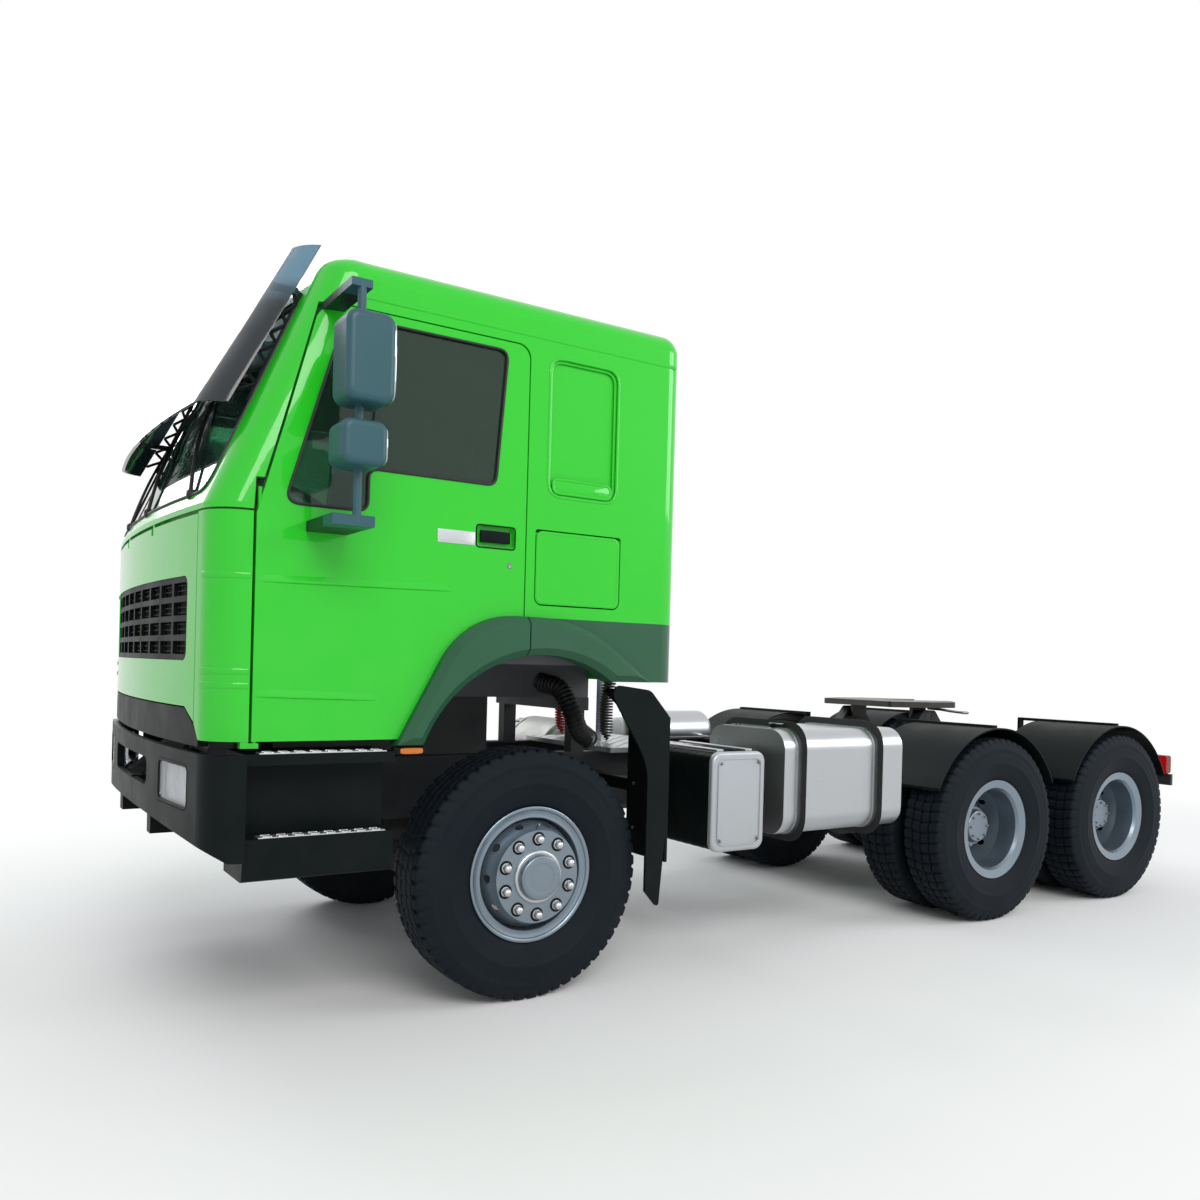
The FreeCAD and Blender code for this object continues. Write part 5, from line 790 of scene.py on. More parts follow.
RIM_RING = [(0.2515, 1.1145), (0.2515, 1.1200), (0.2550, 1.1232), (0.2600, 1.1228), (0.2660, 1.1208),
            (0.2750, 1.1232), (0.2840, 1.1258), (0.2862, 1.1300), (0.2930, 1.1336), (0.3000, 1.1345),
            (0.3036, 1.1322), (0.3040, 1.1280)]
CAP_COLLAR = [(0.1005, 1.1830), (0.1005, 1.1915), (0.1030, 1.1950), (0.1090, 1.1962), (0.1150, 1.1940),
              (0.1172, 1.1900), (0.1172, 1.1830)]
CAP_RING = [(0.088, -0.002), (0.088, 0.0022), (0.084, 0.003), (0.066, 0.003), (0.062, 0.0022),
            (0.062, -0.002)]
NUT_WASHER = [(0.012, -0.001), (0.012, 0.0022), (0.0295, 0.0022), (0.0315, 0.0010), (0.0315, -0.001)]


def nut(across=0.0195, height=0.022):
    """A domed nut along Y: a hexagon on a round flange, closed by rings that shrink to a stud's end."""
    angle = np.linspace(0, TURN, 12, endpoint=False)
    hexagon = np.where(np.arange(12) % 2 == 0, 1.0, 0.9)
    rows = [(across * 1.12, -0.004, 1), (across * 1.12, 0.003, 1), (across, 0.0035, hexagon),
            (across, height, hexagon), (across * 0.90, height + 0.004, 1), (across * 0.70, height + 0.009, 1),
            (across * 0.42, height + 0.012, 1), (across * 0.15, height + 0.0132, 1)]
    points = [np.stack([radius * form * np.cos(angle), np.full(12, y), radius * form * np.sin(angle)], 1)
              for radius, y, form in rows]
    return closed_grid(np.array(points)[:, ::-1])


def wheel_nuts(x, y, shape):
    """A nut or washer at each stud of a hub."""
    return repeated(shape, polar_places(STUDS, STUD_CIRCLE, y, x, WHEEL_Z))


front_axle = (AXLE_X, 0, WHEEL_Z)
washer = turned_shape(NUT_WASHER, (0, 0, 0), steps=20, hollow=True)
for name, shape, coat in (
        ("wheel_nuts_front", wheel_nuts(AXLE_X, FRONT_FACE_Y, nut()), BRIGHT),
        ("nut_washers_front", wheel_nuts(AXLE_X, FRONT_FACE_Y, washer), MOULDING),
        ("rim_edge_front", turned_shape(RIM_RING, front_axle, steps=96, hollow=True), SILVER),
        ("hub_collar_front", turned_shape(CAP_COLLAR, front_axle, steps=72, hollow=True), BRIGHT),
        ("hub_cap_ring_front", turned_shape(CAP_RING, (AXLE_X, FRONT_FACE_Y + 0.037, WHEEL_Z), steps=48),
         SILVER)):
    pair(name, shape, "front_SIDE_wheel", coat)
for place, x in BOGIE_X.items():
    pair(f"wheel_nuts_{place}", wheel_nuts(x, REAR_FACE_Y, nut()), f"{place}_SIDE_wheels", BRIGHT)
    cap_bolts = repeated(nut(0.008, 0.005), polar_places(8, 0.078, REAR_HUB_Y, x, WHEEL_Z))
    pair(f"hub_cap_bolts_{place}", cap_bolts, f"{place}_SIDE_wheels", ZINC)


# Cab skin

BOW = 8.0
CORNER = 0.15
LEAN = 0.4244


def corner_centre(nose, half):
    """Where a corner's arc has its middle along X, so that it touches the wide arc from inside."""
    return nose - BOW + math.sqrt((BOW - CORNER) ** 2 - (half - CORNER) ** 2)


def nose_x(y, z, nose=NOSE_X, half=SKIN_Y):
    """How far forward the bowed nose stands at a distance from the middle and a height.

    A wide arc, nose - BOW + sqrt(BOW^2 - y^2), meets an arc of radius CORNER at each corner.
    Above the cowl both lean back by LEAN for each metre of height.
    """
    y = np.abs(np.asarray(y, float))
    wide = nose - BOW + np.sqrt(BOW ** 2 - y ** 2)
    rounded = corner_centre(nose, half) + np.sqrt(np.clip(CORNER ** 2 - (y - half + CORNER) ** 2, 0, None))
    x = np.where(y > (half - CORNER) * BOW / (BOW - CORNER), rounded, wide)
    return x - np.clip(np.asarray(z, float) - COWL_Z, 0, None) * LEAN


def on_nose(outline, inset=0.0, nose=NOSE_X, half=SKIN_Y):
    """Front-view (y, z) points laid on the nose and set back from it."""
    outline = np.asarray(outline, float)
    return np.column_stack([nose_x(outline[:, 0], outline[:, 1], nose, half) - inset, outline])


SCREEN = rounded_box(-1.0, 1.0, 2.128, 2.930, 0.09)
screen_seal = along_path(on_nose(dense(SCREEN, 0.04), 0.006), plate_loop(0.012, 0.026, 0.6), closed=True,
                         up=(1, 0, 0.42))
piece("windscreen_seal", screen_seal, "cab", SEAL)

WINDOW = rounded_outline([(3.044, 2.094), (2.825, 2.850), (2.105, 2.850), (2.150, 2.265), (2.715, 2.265),
                          (2.715, 2.094)], 0.045)
pair("window_seal", bead(WINDOW, 1.163, 0.012, 0.024, 0.6), "SIDE_door", SEAL)
divider = np.linspace((2.715, 1.160, 2.27), (2.66, 1.160, 2.845), 12)
pair("window_divider", along_path(divider, plate_loop(0.010, 0.020, 0.6), up=(0, 1, 0)), "SIDE_door", SEAL)

# The pressed crease's section as (outwards, share of its height), and the power that thins out its ends

CREASE_Y = 1.1665
CREASE_HEIGHT = 0.034
CREASE_FADE = 0.35
CREASE_SECTION = [(-0.003, 0.0), (0.0, 0.66), (0.003, 0.42), (0.0078, 0.0), (0.0095, -0.2), (0.0090, -0.3),
                  (0.004, -0.38), (0.0, -0.42)]


def pressed_line(x_start, x_end, z, fall):
    """A pressed crease along the door: a long upper slope and a sharp underside.

    How far it stands out is its section's, times a sine of the way along, raised to a small power.
    """
    path = np.linspace((x_start, CREASE_Y, z), (x_end, CREASE_Y, z + fall), 40)
    loop = [(out, up * CREASE_HEIGHT) for out, up in CREASE_SECTION]
    verts, faces = along_path(path, loop, up=(0, 0, 1))
    way = np.clip((verts[:, 0] - x_start) / (x_end - x_start), 0, 1)
    verts[:, 1] = CREASE_Y + (verts[:, 1] - CREASE_Y) * np.sin(math.pi * way) ** CREASE_FADE
    return verts, faces


pair("door_crease_upper", pressed_line(3.142, 2.34, 1.797, 0.012), "SIDE_door", PAINT)
pair("door_crease_lower", pressed_line(3.142, 2.66, 1.362, -0.012), "SIDE_door", PAINT)

handle = np.linspace((2.072, 1.158, 2.044), (2.212, 1.158, 2.044), 16)
handle[:, 1] += 0.004 * np.sin(np.linspace(0, math.pi, 16))
pair("door_handle_grip", along_path(handle, plate_loop(0.014, 0.052, 0.5)), "SIDE_door", MOULDING)
handle_rim = rounded_box(2.049, 2.235, 1.995, 2.091, 0.016)
pair("door_handle_rim", bead(handle_rim, 1.167, 0.006, 0.008, 0.7), "SIDE_door", MOULDING)
strip = rounded_box(2.242, 2.413, 2.000, 2.056, 0.004, 3)
pair("door_bare_strip", lid_shape(strip, 1.166, 1.170, 0.001), "SIDE_door", LABEL)
barrel = turned_shape([(0.0001, 0.003), (0.004, 0.0045), (0.010, 0.005), (0.012, 0.003), (0.012, -0.004),
                       (0.0001, -0.004)], (2.072, 1.167, 1.925), steps=20)
pair("door_lock_barrel", barrel, "SIDE_door", ZINC)


# Steps, lamps and trim low down

def tread_strip(x_low, x_high, y_outer, z):
    """A slotted alloy nosing: a flat bar with two rows of raised teeth pressed out of it."""
    bar = np.linspace((x_low, y_outer - 0.030, z + 0.003), (x_high, y_outer - 0.030, z + 0.003), 10)
    base = along_path(bar, plate_loop(0.060, 0.006, 0.35))
    tooth = pillow((0, 0, 0), (0.020, 0.0075, 0.004), 0.4, 0.6, 12, 7)
    teeth = np.linspace(x_low + 0.035, x_high - 0.035, int((x_high - x_low) / 0.062))
    spots = [(x, y_outer - d, z + 0.0062) for x in teeth for d in (0.014, 0.046)]
    return joined(base, repeated(tooth, spots))


pair("step_nosing_upper", tread_strip(2.62, 3.12, 1.192, 1.134), "chassis", BRIGHT)
pair("step_nosing_lower", tread_strip(2.62, 3.12, 1.198, 0.816), "chassis", BRIGHT)
lamp_box = pillow((2.515, 1.166, 1.134), (0.072, 0.022, 0.017), 0.3, 0.3)
pair("side_lamp_housing", lamp_box, "chassis", MOULDING)
side_lens = pillow((2.512, 1.186, 1.134), (0.050, 0.009, 0.013), 0.35, 0.5)
pair("side_lamp_lens", side_lens, "chassis", AMBER)

HEADLAMP_Z = 0.995


def lamp_bowl(y, radius, depth=0.05):
    """A bowl reflector: a parabola turned about the lamp's own axis, its rim rolled over."""
    inner = [(r, -depth + depth * (r / radius) ** 2) for r in np.linspace(0.004, radius, 10)]
    outer = [(radius + 0.004, 0.002), (radius + 0.004, -0.006), (radius * 0.6, -depth - 0.004),
             (0.004, -depth - 0.006)]
    x = nose_x(y, HEADLAMP_Z, BUMPER_X, BUMPER_Y) - 0.062
    return turned_shape(inner + outer, (x, y, HEADLAMP_Z), "x", 28)


def nose_sheet(outline, inset, thick, nose=NOSE_X, half=SKIN_Y):
    """A front-view outline laid on the nose, given a rounded rim and a thickness behind."""
    middle = outline.mean(0)
    rows = []
    for share, back in ((0.001, 0.0), (0.5, 0.0), (0.97, 0.0), (1.0, 0.004), (1.0, thick), (0.5, thick),
                        (0.001, thick)):
        rows.append(on_nose(middle + (outline - middle) * share, inset + back, nose, half))
    return closed_grid(np.array(rows)[:, ::-1])


bowls = joined(lamp_bowl(0.72, 0.068), lamp_bowl(0.885, 0.068), lamp_bowl(0.80, 0.012, 0.02))
pair("headlamp_bowls", bowls, "chassis", REFLECTOR)
lamp_outline = rounded_box(0.618, 0.992, 0.913, 1.077, 0.03)
# A dark sheet at the back of the lamp's recess: painted shade round the bowls.
lamp_back = nose_sheet(lamp_outline, 0.100, 0.004, BUMPER_X, BUMPER_Y)
pair("headlamp_back", lamp_back, "chassis", SHADE_AND_BLACK_PARTS)
bezel_path = on_nose(dense(lamp_outline, 0.04), 0.004, BUMPER_X, BUMPER_Y)
bezel = along_path(bezel_path, plate_loop(0.012, 0.010, 0.7), closed=True, up=(1, 0, 0))
pair("headlamp_bezel", bezel, "chassis", MOULDING)


# Mirrors

for name, x, z, half_x, half_z in (("main", 2.853, 2.595, 0.093, 0.165),
                                   ("wide", 2.8695, 2.283, 0.0845, 0.083)):
    glass = pillow((x - half_x + 0.002, 1.470, z), (0.006, 0.078, half_z - 0.016), 0.35, 0.35, 32, 9)
    pair(f"mirror_glass_{name}", glass, "SIDE_door", MIRROR_GLASS)


# Frame fastenings

WEB_Y = 0.425
PLATE_Y = 0.4372
web_bolts = [(x, WEB_Y, z)
             for x in (3.02, 2.94, 0.52, 0.44, -0.30, -0.38, -0.99, -1.07, -2.00, -2.08, -2.84, -2.92)
             for z in (0.79, 0.86, 0.93, 0.99)]
web_bolts += [(x, PLATE_Y, z) for x in (1.11, 1.03, 2.69, 2.61) for z in (0.78, 0.82)]
pair("frame_bolts", repeated(nut(0.014, 0.012), web_bolts), "chassis", ZINC)


def u_bolt(x, y, low, top, half):
    """A U bolt: two legs and a flattened half turn over the spring, as one round bar."""
    turn = np.linspace(0, math.pi, 14)
    arch = np.column_stack([np.full(14, x), y + half * np.cos(turn), top + half * 0.35 * np.sin(turn)])
    rising = np.linspace((x, y + half, low), (x, y + half, top), 6)[:-1]
    falling = np.linspace((x, y - half, top), (x, y - half, low), 6)[1:]
    return along_path(np.vstack([rising, arch, falling]), circle_loop(0.010, 10), up=(1, 0, 0))


u_bolts = joined(*[u_bolt(x, 0.392, 0.41, 0.63, 0.048) for x in (1.83, 1.87, 1.93, 1.97)],
                 *[u_bolt(x, 0.505, 0.62, 0.79, 0.046) for x in (-2.09, -2.04, -1.96, -1.91)])
pair("spring_u_bolts", u_bolts, "chassis", CHASSIS)


# Boxes and tanks

COVER_Y = 1.1655
cover_bead = bead(rounded_box(0.585, 0.865, 0.615, 1.050, 0.045), COVER_Y, 0.006, 0.014, 0.9)
piece("battery_cover_bead", cover_bead, "chassis", COVER)
cover_corners = [(x, COVER_Y, z) for x in (0.600, 0.850) for z in (0.640, 1.030)]
piece("battery_cover_bolts", repeated(nut(0.009, 0.006), cover_corners), "chassis", ZINC)


def box_case(outline, y_values):
    """A side-view outline carried across in ribs: every second row is larger by 0.4 %."""
    middle = (outline.min(0) + outline.max(0)) / 2
    rows = [at_side(middle + (outline - middle) * (1.004 if index % 2 else 1.0), y)
            for index, y in enumerate(y_values)]
    return closed_grid(np.array(rows))


case = box_case(dense(rounded_box(0.560, 0.890, 0.590, 1.075, 0.035)),
                np.repeat(np.linspace(0.60, 1.134, 9), 2)[1:-1])
piece("battery_case_skin", case, "chassis", MOULDING)
strap_section = plate_loop(0.045, 0.012, 0.35)
straps = joined(*[along_path(np.linspace((x, 1.12, 1.090), (x, 0.56, 1.090), 8), strap_section)
                  for x in (0.63, 0.82)])
piece("battery_hold_straps", straps, "chassis", BRIGHT)
tank_cap = turned_shape([(0.0001, 0.0275), (0.020, 0.0275), (0.052, 0.0275), (0.058, 0.022), (0.058, 0.006),
                         (0.052, 0.0)], (0.300, 0.990, 1.190), "z", 36)
piece("tank_cap_knob", tank_cap, "chassis", MOULDING)


def strap_line(x):
    """The rubber liner under a tank strap, run round the tank's own section."""
    loop = rounded_box(0.556, 1.184, 0.628, 1.194, 0.112, 9)
    path = np.column_stack([np.full(len(loop), x), loop])
    return along_path(path, plate_loop(0.078, 0.004, 0.3), closed=True, up=(1, 0, 0))


for number, x in enumerate((0.3125, -0.2725), start=1):
    piece(f"tank_strap_liner_{number}", strap_line(x), "chassis", SEAL)


def deck_tread():
    """Raised teardrop treads on the deck plate, each turned across the next."""
    pitch, slant = 0.045, 0.785
    x, y = np.meshgrid(np.arange(0.475, 1.08, pitch), np.arange(-0.375, 0.525, pitch), indexing="ij")
    spots = np.stack([x.ravel(), y.ravel(), np.full(x.size, 1.0622)], 1)
    odd = (np.round(x / pitch) + np.round(y / pitch)).astype(int).ravel() % 2
    tooth = pillow((0, 0, 0), (0.014, 0.0045, 0.0022), 0.8, 0.8, 8, 5)
    directions = [(math.cos(a), math.sin(a)) for a in np.where(odd, slant, -slant)]
    turns = [np.array([[c, -s, 0], [s, c, 0], [0, 0, 1]]) for c, s in directions]
    return repeated(tooth, spots, turns)


piece("deck_tread", deck_tread(), "chassis", ALUMINIUM)

SILENCER_X = 0.64
SILENCER_Z = 0.885


def end_band():
    """A band round the silencer's end: a flat section turned through part of a circle about Y."""
    angle = np.linspace(-2.2, 1.2, 60)
    rows = []
    for radius, y in ((0.2555, -1.152), (0.2590, -1.152), (0.2590, -1.06), (0.2555, -1.06)):
        x, z = SILENCER_X + radius * np.cos(angle), SILENCER_Z + radius * np.sin(angle)
        rows.append(np.stack([x, np.full(60, y), z], 1))
    return closed_grid(np.array(rows).transpose(1, 0, 2))


def band_slots():
    """Slots across the band, each a small flat dark block turned to lie on it: painted shade where the
    openings are.
    """
    radius = 0.2585
    directions = [(math.cos(a), math.sin(a)) for a in np.linspace(-2.0, 1.0, 16)]
    spots = [(SILENCER_X + radius * c, -1.105, SILENCER_Z + radius * s) for c, s in directions]
    turns = [np.array([[c, 0, -s], [0, 1, 0], [s, 0, c]]) for c, s in directions]
    return repeated(pillow((0, 0, 0), (0.0022, 0.030, 0.009), 0.5, 0.5, 12, 7), spots, turns)


piece("silencer_end_band", end_band(), "chassis", SILENCER)
piece("silencer_slots", band_slots(), "chassis", SHADE_AND_BLACK_PARTS)


# Coupling

COUPLING_X = -1.7


def grease_ring(radius, start, stop):
    """A low ring of grease on the top plate, as an arc about the jaw."""
    angle = np.linspace(start, stop, 40)
    path = np.stack([COUPLING_X + radius * np.cos(angle), radius * np.sin(angle), np.full(40, 1.3085)], 1)
    return along_path(path, plate_loop(0.016, 0.0028, 0.8))


rings = joined(*[grease_ring(*arc) for arc in ((0.17, -2.2, 2.2), (0.25, 0.4, 2.3), (0.25, -2.3, -0.4),
                                               (0.33, 0.7, 1.7), (0.33, -1.7, -0.7))])
piece("coupling_grease_rings", rings, "coupling_plate", SHADE_AND_BLACK_PARTS)
lever = [(-1.78, 0.30, 1.262), (-1.80, 0.40, 1.258), (-1.82, 0.46, 1.250), (-1.83, 0.53, 1.245),
         (-1.83, 0.60, 1.245), (-1.80, 0.615, 1.245), (-1.77, 0.60, 1.245)]
piece("coupling_release_lever", along_path(lever, circle_loop(0.009, 12)), "coupling_plate", ZINC)


# Nose

WIPER_FOOT_Z = 2.135
WIPER_TIP_Z = 2.62


def wiper(y_foot, y_tip, y_low, y_high):
    """An arm from the cowl to the screen and a blade across its end, both following the glass.

    The arm stands off by half a sine wave along its length, and the blade rises evenly across.
    """
    way = np.linspace(0, 1, 24)
    arm = on_nose(np.linspace((y_foot, WIPER_FOOT_Z), (y_tip, WIPER_TIP_Z), 24), -0.002)
    arm[:, 0] += 0.014 * np.sin(math.pi * way)
    blade_y = np.linspace(y_low, y_high, 24)
    blade = on_nose(np.column_stack([blade_y, WIPER_TIP_Z + 0.42 * (blade_y - y_tip)]), -0.002)
    foot = turned_shape([(0.0001, 0.021), (0.014, 0.020), (0.022, 0.012), (0.022, -0.02), (0.0001, -0.02)],
                        (nose_x(y_foot, WIPER_FOOT_Z) - 0.004, y_foot, WIPER_FOOT_Z), "x", 20)
    return joined(along_path(arm, plate_loop(0.016, 0.008, 0.7)),
                  along_path(blade, plate_loop(0.010, 0.014, 0.7)), foot)


wipers = joined(wiper(0.82, 0.36, 0.08, 0.64), wiper(0.10, -0.32, -0.58, -0.04),
                wiper(-0.52, -0.72, -0.94, -0.46))
piece("screen_wipers", wipers, "cab", SEAL)


def mesh_screen():
    """A mesh behind the grille bars: crossed wires laid on the bowed nose."""
    wire = circle_loop(0.0028, 6)
    level = [along_path(on_nose(np.linspace((-0.86, z), (0.86, z), 60), 0.0195), wire)
             for z in np.arange(1.515, 1.79, 0.022)]
    upright = [along_path(on_nose(np.linspace((y, 1.505), (y, 1.79), 8), 0.0225), wire, up=(1, 0, 0))
               for y in np.arange(-0.85, 0.86, 0.05)]
    return joined(*level, *upright)


piece("grille_mesh", mesh_screen(), "nose_flap", SHADE_AND_BLACK_PARTS)
# A thin dark sheet behind the mesh: painted shade of the space behind the grille.
backing = nose_sheet(dense(rounded_box(-0.872, 0.872, 1.492, 1.800, 0.02), 0.04), 0.0265, 0.002)
piece("grille_painted_shade_sheet", backing, "nose_flap", SHADE_AND_BLACK_PARTS)


# Inside the cab

def seat_pad(y, outline):
    """A seat cushion or back: a side outline carried across, crowned in its middle and rolled at its sides.

    Its size at u, from -1 to 1 across, is a share that drops near the sides as (1 - |u|^6)^0.5, times a
    crown of 1 - u^2, less a sewn channel where |u| is near 0.52.
    """
    outline = dense(outline)
    middle = outline.mean(0)
    rows = []
    for u in np.linspace(-1, 1, 25):
        edge = 1 - abs(u) ** 6
        crown = 1 + 0.035 * (1 - u ** 2)
        channel = 1 - 0.03 * math.exp(-((abs(u) - 0.52) / 0.05) ** 2)
        share = (0.72 + 0.28 * edge ** 0.5) * crown * channel
        rows.append(at_side(middle + (outline - middle) * share, y + 0.245 * u))
    return closed_grid(np.array(rows))


SEAT_BASE = rounded_outline([(2.065, 1.785), (2.555, 1.785), (2.555, 1.915), (2.12, 1.895)], 0.045, 6)
SEAT_BACK = rounded_outline([(2.045, 1.915), (2.185, 1.895), (2.085, 2.360), (1.955, 2.350)], 0.045, 6)
SEAT_HEAD = rounded_outline([(1.945, 2.385), (2.055, 2.395), (2.035, 2.545), (1.925, 2.530)], 0.035, 6)
SEAT_SHELL = rounded_outline([(1.925, 1.90), (2.03, 1.90), (1.945, 2.36), (1.925, 2.36)], 0.02, 5)
HEADREST_WIDTH = 0.55

for side, sign in SIDES:
    seat_y = SEAT_Y * sign
    cushion = piece(f"seat_cushion_{side}", seat_pad(seat_y, SEAT_BASE), "cab", SEAT_CLOTH)
    back = piece(f"seat_back_{side}", seat_pad(seat_y, SEAT_BACK), "cab", SEAT_CLOTH)
    narrow, narrow_faces = seat_pad(0, SEAT_HEAD)
    narrow[:, 1] = narrow[:, 1] * HEADREST_WIDTH + seat_y
    rest = piece(f"seat_headrest_{side}", (narrow, narrow_faces), "cab", SEAT_CLOTH)
    stalks = [along_path([(2.01, seat_y + d, 2.33), (1.995, seat_y + d, 2.37), (1.985, seat_y + d, 2.42)],
                         circle_loop(0.006, 8), up=(0, 1, 0)) for d in (-0.06, 0.06)]
    piece(f"seat_headrest_stalks_{side}", joined(*stalks), "cab", ZINC)
    piece(f"seat_shell_{side}", seat_pad(seat_y, SEAT_SHELL), "cab", CABIN)
    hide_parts("seats")


def mattress():
    """The bunk pad: a long rounded block, crowned, drawn in along sewn cross channels.

    Its section is a cosine and a sine raised to a power. Both halves shrink near the ends as
    (1 - |u|^14)^0.5, and the height also at each channel, a narrow bell curve four times along the half.
    """
    u = np.linspace(-1, 1, 81)
    v = np.linspace(0, TURN, 40, endpoint=False)
    v, u = np.meshgrid(v, u)
    tuck = 1 - 0.05 * np.exp(-((np.mod(u * 4 + 0.5, 1) - 0.5) / 0.06) ** 2)
    end = (1 - np.abs(u) ** 14) ** 0.5
    half_x = 0.305 * (0.8 + 0.2 * end)
    half_z = 0.060 * (0.35 + 0.65 * end) * tuck
    x = 1.52 + half_x * signed_power(np.cos(v), 0.35)
    z = 2.2035 + half_z * signed_power(np.sin(v), 0.45) + 0.004 * np.cos(v) ** 2
    return closed_grid(np.stack([x, u * 1.095, z], 2)[:, ::-1])


bunk_pad = piece("bunk_mattress", mattress(), "cab", BUNK_CLOTH)
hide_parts("bunk")

hood = pillow((2.865, SEAT_Y, 2.045), (0.10, 0.235, 0.055), 0.4, 0.6, 40, 15)
piece("dash_hood", hood, "cab", CABIN)
DIAL = [(0.0001, -0.004), (0.052, -0.004), (0.052, 0.006), (0.047, 0.008), (0.044, 0.002), (0.0001, 0.002)]
dials, dial_faces = joined(*[turned_shape(DIAL, (2.775, y, 2.035), "x", 32) for y in (0.53, 0.71)])
piece("dash_dials", (dials, [face[::-1] for face in dial_faces]), "cab", SHADE_AND_BLACK_PARTS)

RAKE = -math.radians(35)
WHEEL_CENTRE = (2.760, SEAT_Y, 2.110)


def on_wheel(shape):
    """Carries a shape drawn on a flat steering wheel to its raked place."""
    turn = np.array([[math.cos(RAKE), 0, math.sin(RAKE)], [0, 1, 0], [-math.sin(RAKE), 0, math.cos(RAKE)]])
    flat, faces = shape
    return flat @ turn.T + np.array(WHEEL_CENTRE), faces


def spoke(angle):
    """A flat spoke that dips towards the hub."""
    path = [(math.cos(angle) * r, math.sin(angle) * r, -0.02 * (1 - r / 0.22)) for r in
            np.linspace(0.06, 0.222, 8)]
    return along_path(path, plate_loop(0.034, 0.012, 0.6))


rim_path = np.column_stack([circle_loop(0.225, 72), np.zeros(72)])
grip = along_path(rim_path, circle_loop(0.0155, 12), closed=True)
wheel_pad = pillow((0, 0, 0.006), (0.085, 0.10, 0.022), 0.5, 0.6, 32, 13)
hub = turned_shape([(0.0001, 0.004), (0.055, 0.0), (0.050, -0.020), (0.045, -0.040), (0.0001, -0.040)],
                   (0, 0, 0), "z", 32)
spokes = [spoke(angle) for angle in (math.pi / 2, -math.pi / 2, math.pi * 0.82, -math.pi * 0.82)]
wheel = piece("steering_wheel_rim", on_wheel(joined(grip, wheel_pad, hub, *spokes)), "steering_wheel", GRIP)
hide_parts("steering_wheel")


# Pressings and trim on the cab

FOLD_Y = 1.1672
blank_outer = bead(rounded_box(1.526, 1.892, 2.250, 2.868, 0.07), CREASE_Y, 0.014, 0.010)
blank_inner = bead(rounded_box(1.536, 1.882, 2.260, 2.858, 0.062), 1.1545, 0.018, 0.008)
pair("blank_rim", joined(blank_outer, blank_inner), "cab", PAINT)
ledge = rounded_box(1.556, 1.862, 2.268, 2.330, 0.030)
pair("blank_finger_ledge", joined(lid_shape(ledge, 1.150, 1.164, 0.006), bead(ledge, 1.163, 0.012, 0.008)),
     "cab", PAINT)
hatch_line = rounded_box(1.509, 1.933, 1.777, 2.083, 0.030)
pair("locker_lid_rim", bead(hatch_line, FOLD_Y, 0.010, 0.004), "SIDE_locker_lid", PAINT)
gutter = np.linspace((1.200, FOLD_Y, 2.942), (2.79, FOLD_Y, 2.942), 40)
pair("roof_gutter", along_path(gutter, plate_loop(0.008, 0.016, 0.7)), "cab", PAINT)


def corner_line(z):
    """A pressed line round a front corner panel: the corner's arc from near the bow to the side."""
    y_start, middle = 1.045, SKIN_Y - CORNER
    angle = np.linspace(math.asin((y_start - middle) / CORNER), math.pi / 2, 24)
    arc = np.column_stack([corner_centre(NOSE_X, SKIN_Y) + CORNER * np.cos(angle),
                           middle + CORNER * np.sin(angle), np.full(24, z)])
    return along_path(arc, circle_loop(1.0, 13) * (0.004, 0.013))


pair("corner_panel_folds", joined(corner_line(1.446), corner_line(1.392), corner_line(1.806)), "cab", PAINT)

TRUSS_Y = 0.99


def visor_truss():
    """Flat bars laid zigzag in the gap between the visor's end and the screen pillar, on a flat rail."""
    points = []
    for index, z in enumerate(np.linspace(2.53, 2.95, 11)):
        pillar = nose_x(TRUSS_Y, z) + 0.004
        cheek = 3.386 - (z - 2.478) * 0.532 - 0.0615 - 0.096
        points.append((pillar if index % 2 else max(pillar + 0.004, cheek), TRUSS_Y, z))
    bars = [along_path(ends, plate_loop(0.014, 0.010, 0.5), up=(0, 1, 0)) for ends in zip(points, points[1:])]
    rail = on_nose([(TRUSS_Y, z) for z in np.linspace(2.50, 2.96, 12)], -0.004)
    return joined(along_path(rail, plate_loop(0.018, 0.008, 0.5), up=(0, 1, 0)), *bars)


pair("visor_truss", visor_truss(), "cab", MOULDING)
hinge_seal = pillow((3.128, 1.121, 2.116), (0.036, 0.005, 0.086), 0.3, 0.3)
pair("door_hinge_seal", hinge_seal, "cab", SEAL)
ribs = [along_path(np.linspace((1.1515, -0.86, z), (1.1515, 0.86, z), 30), plate_loop(0.050, 0.007, 0.9),
                   up=(1, 0, 0)) for z in np.linspace(1.78, 2.74, 6)]
piece("cab_back_ribs", joined(*ribs), "cab", PAINT)
screw = turned_shape([(0.0001, 0.005), (0.006, 0.004), (0.009, 0.001), (0.009, -0.004), (0.0001, -0.004)],
                     (0, 0, 0), "x", 14)
screw_places = [(1.2165, y, z) for y in (0.93, 1.07) for z in (1.145, 0.92, 0.70)]
pair("mudguard_screws", repeated(screw, screw_places), "chassis", ZINC)


# Engine bay and air lines

def corrugated(path, radius, pitch, depth):
    """A hose with ribs: its radius is a mean plus a cosine of the run along its length."""
    run = np.r_[0, np.cumsum(np.linalg.norm(np.diff(path, axis=0), axis=1))]
    s = np.linspace(0, run[-1], int(run[-1] / pitch * 6))
    line = np.column_stack([np.interp(s, run, path[:, k]) for k in range(3)])
    verts, _ = along_path(line, circle_loop(1.0, 20), up=(0, 1, 0.05))
    rings = verts[:-2].reshape(len(s), 20, 3)
    swell = (radius + depth * np.cos(TURN * s / pitch))[:, None, None]
    return closed_grid(line[:, None] + (rings - line[:, None]) * swell)


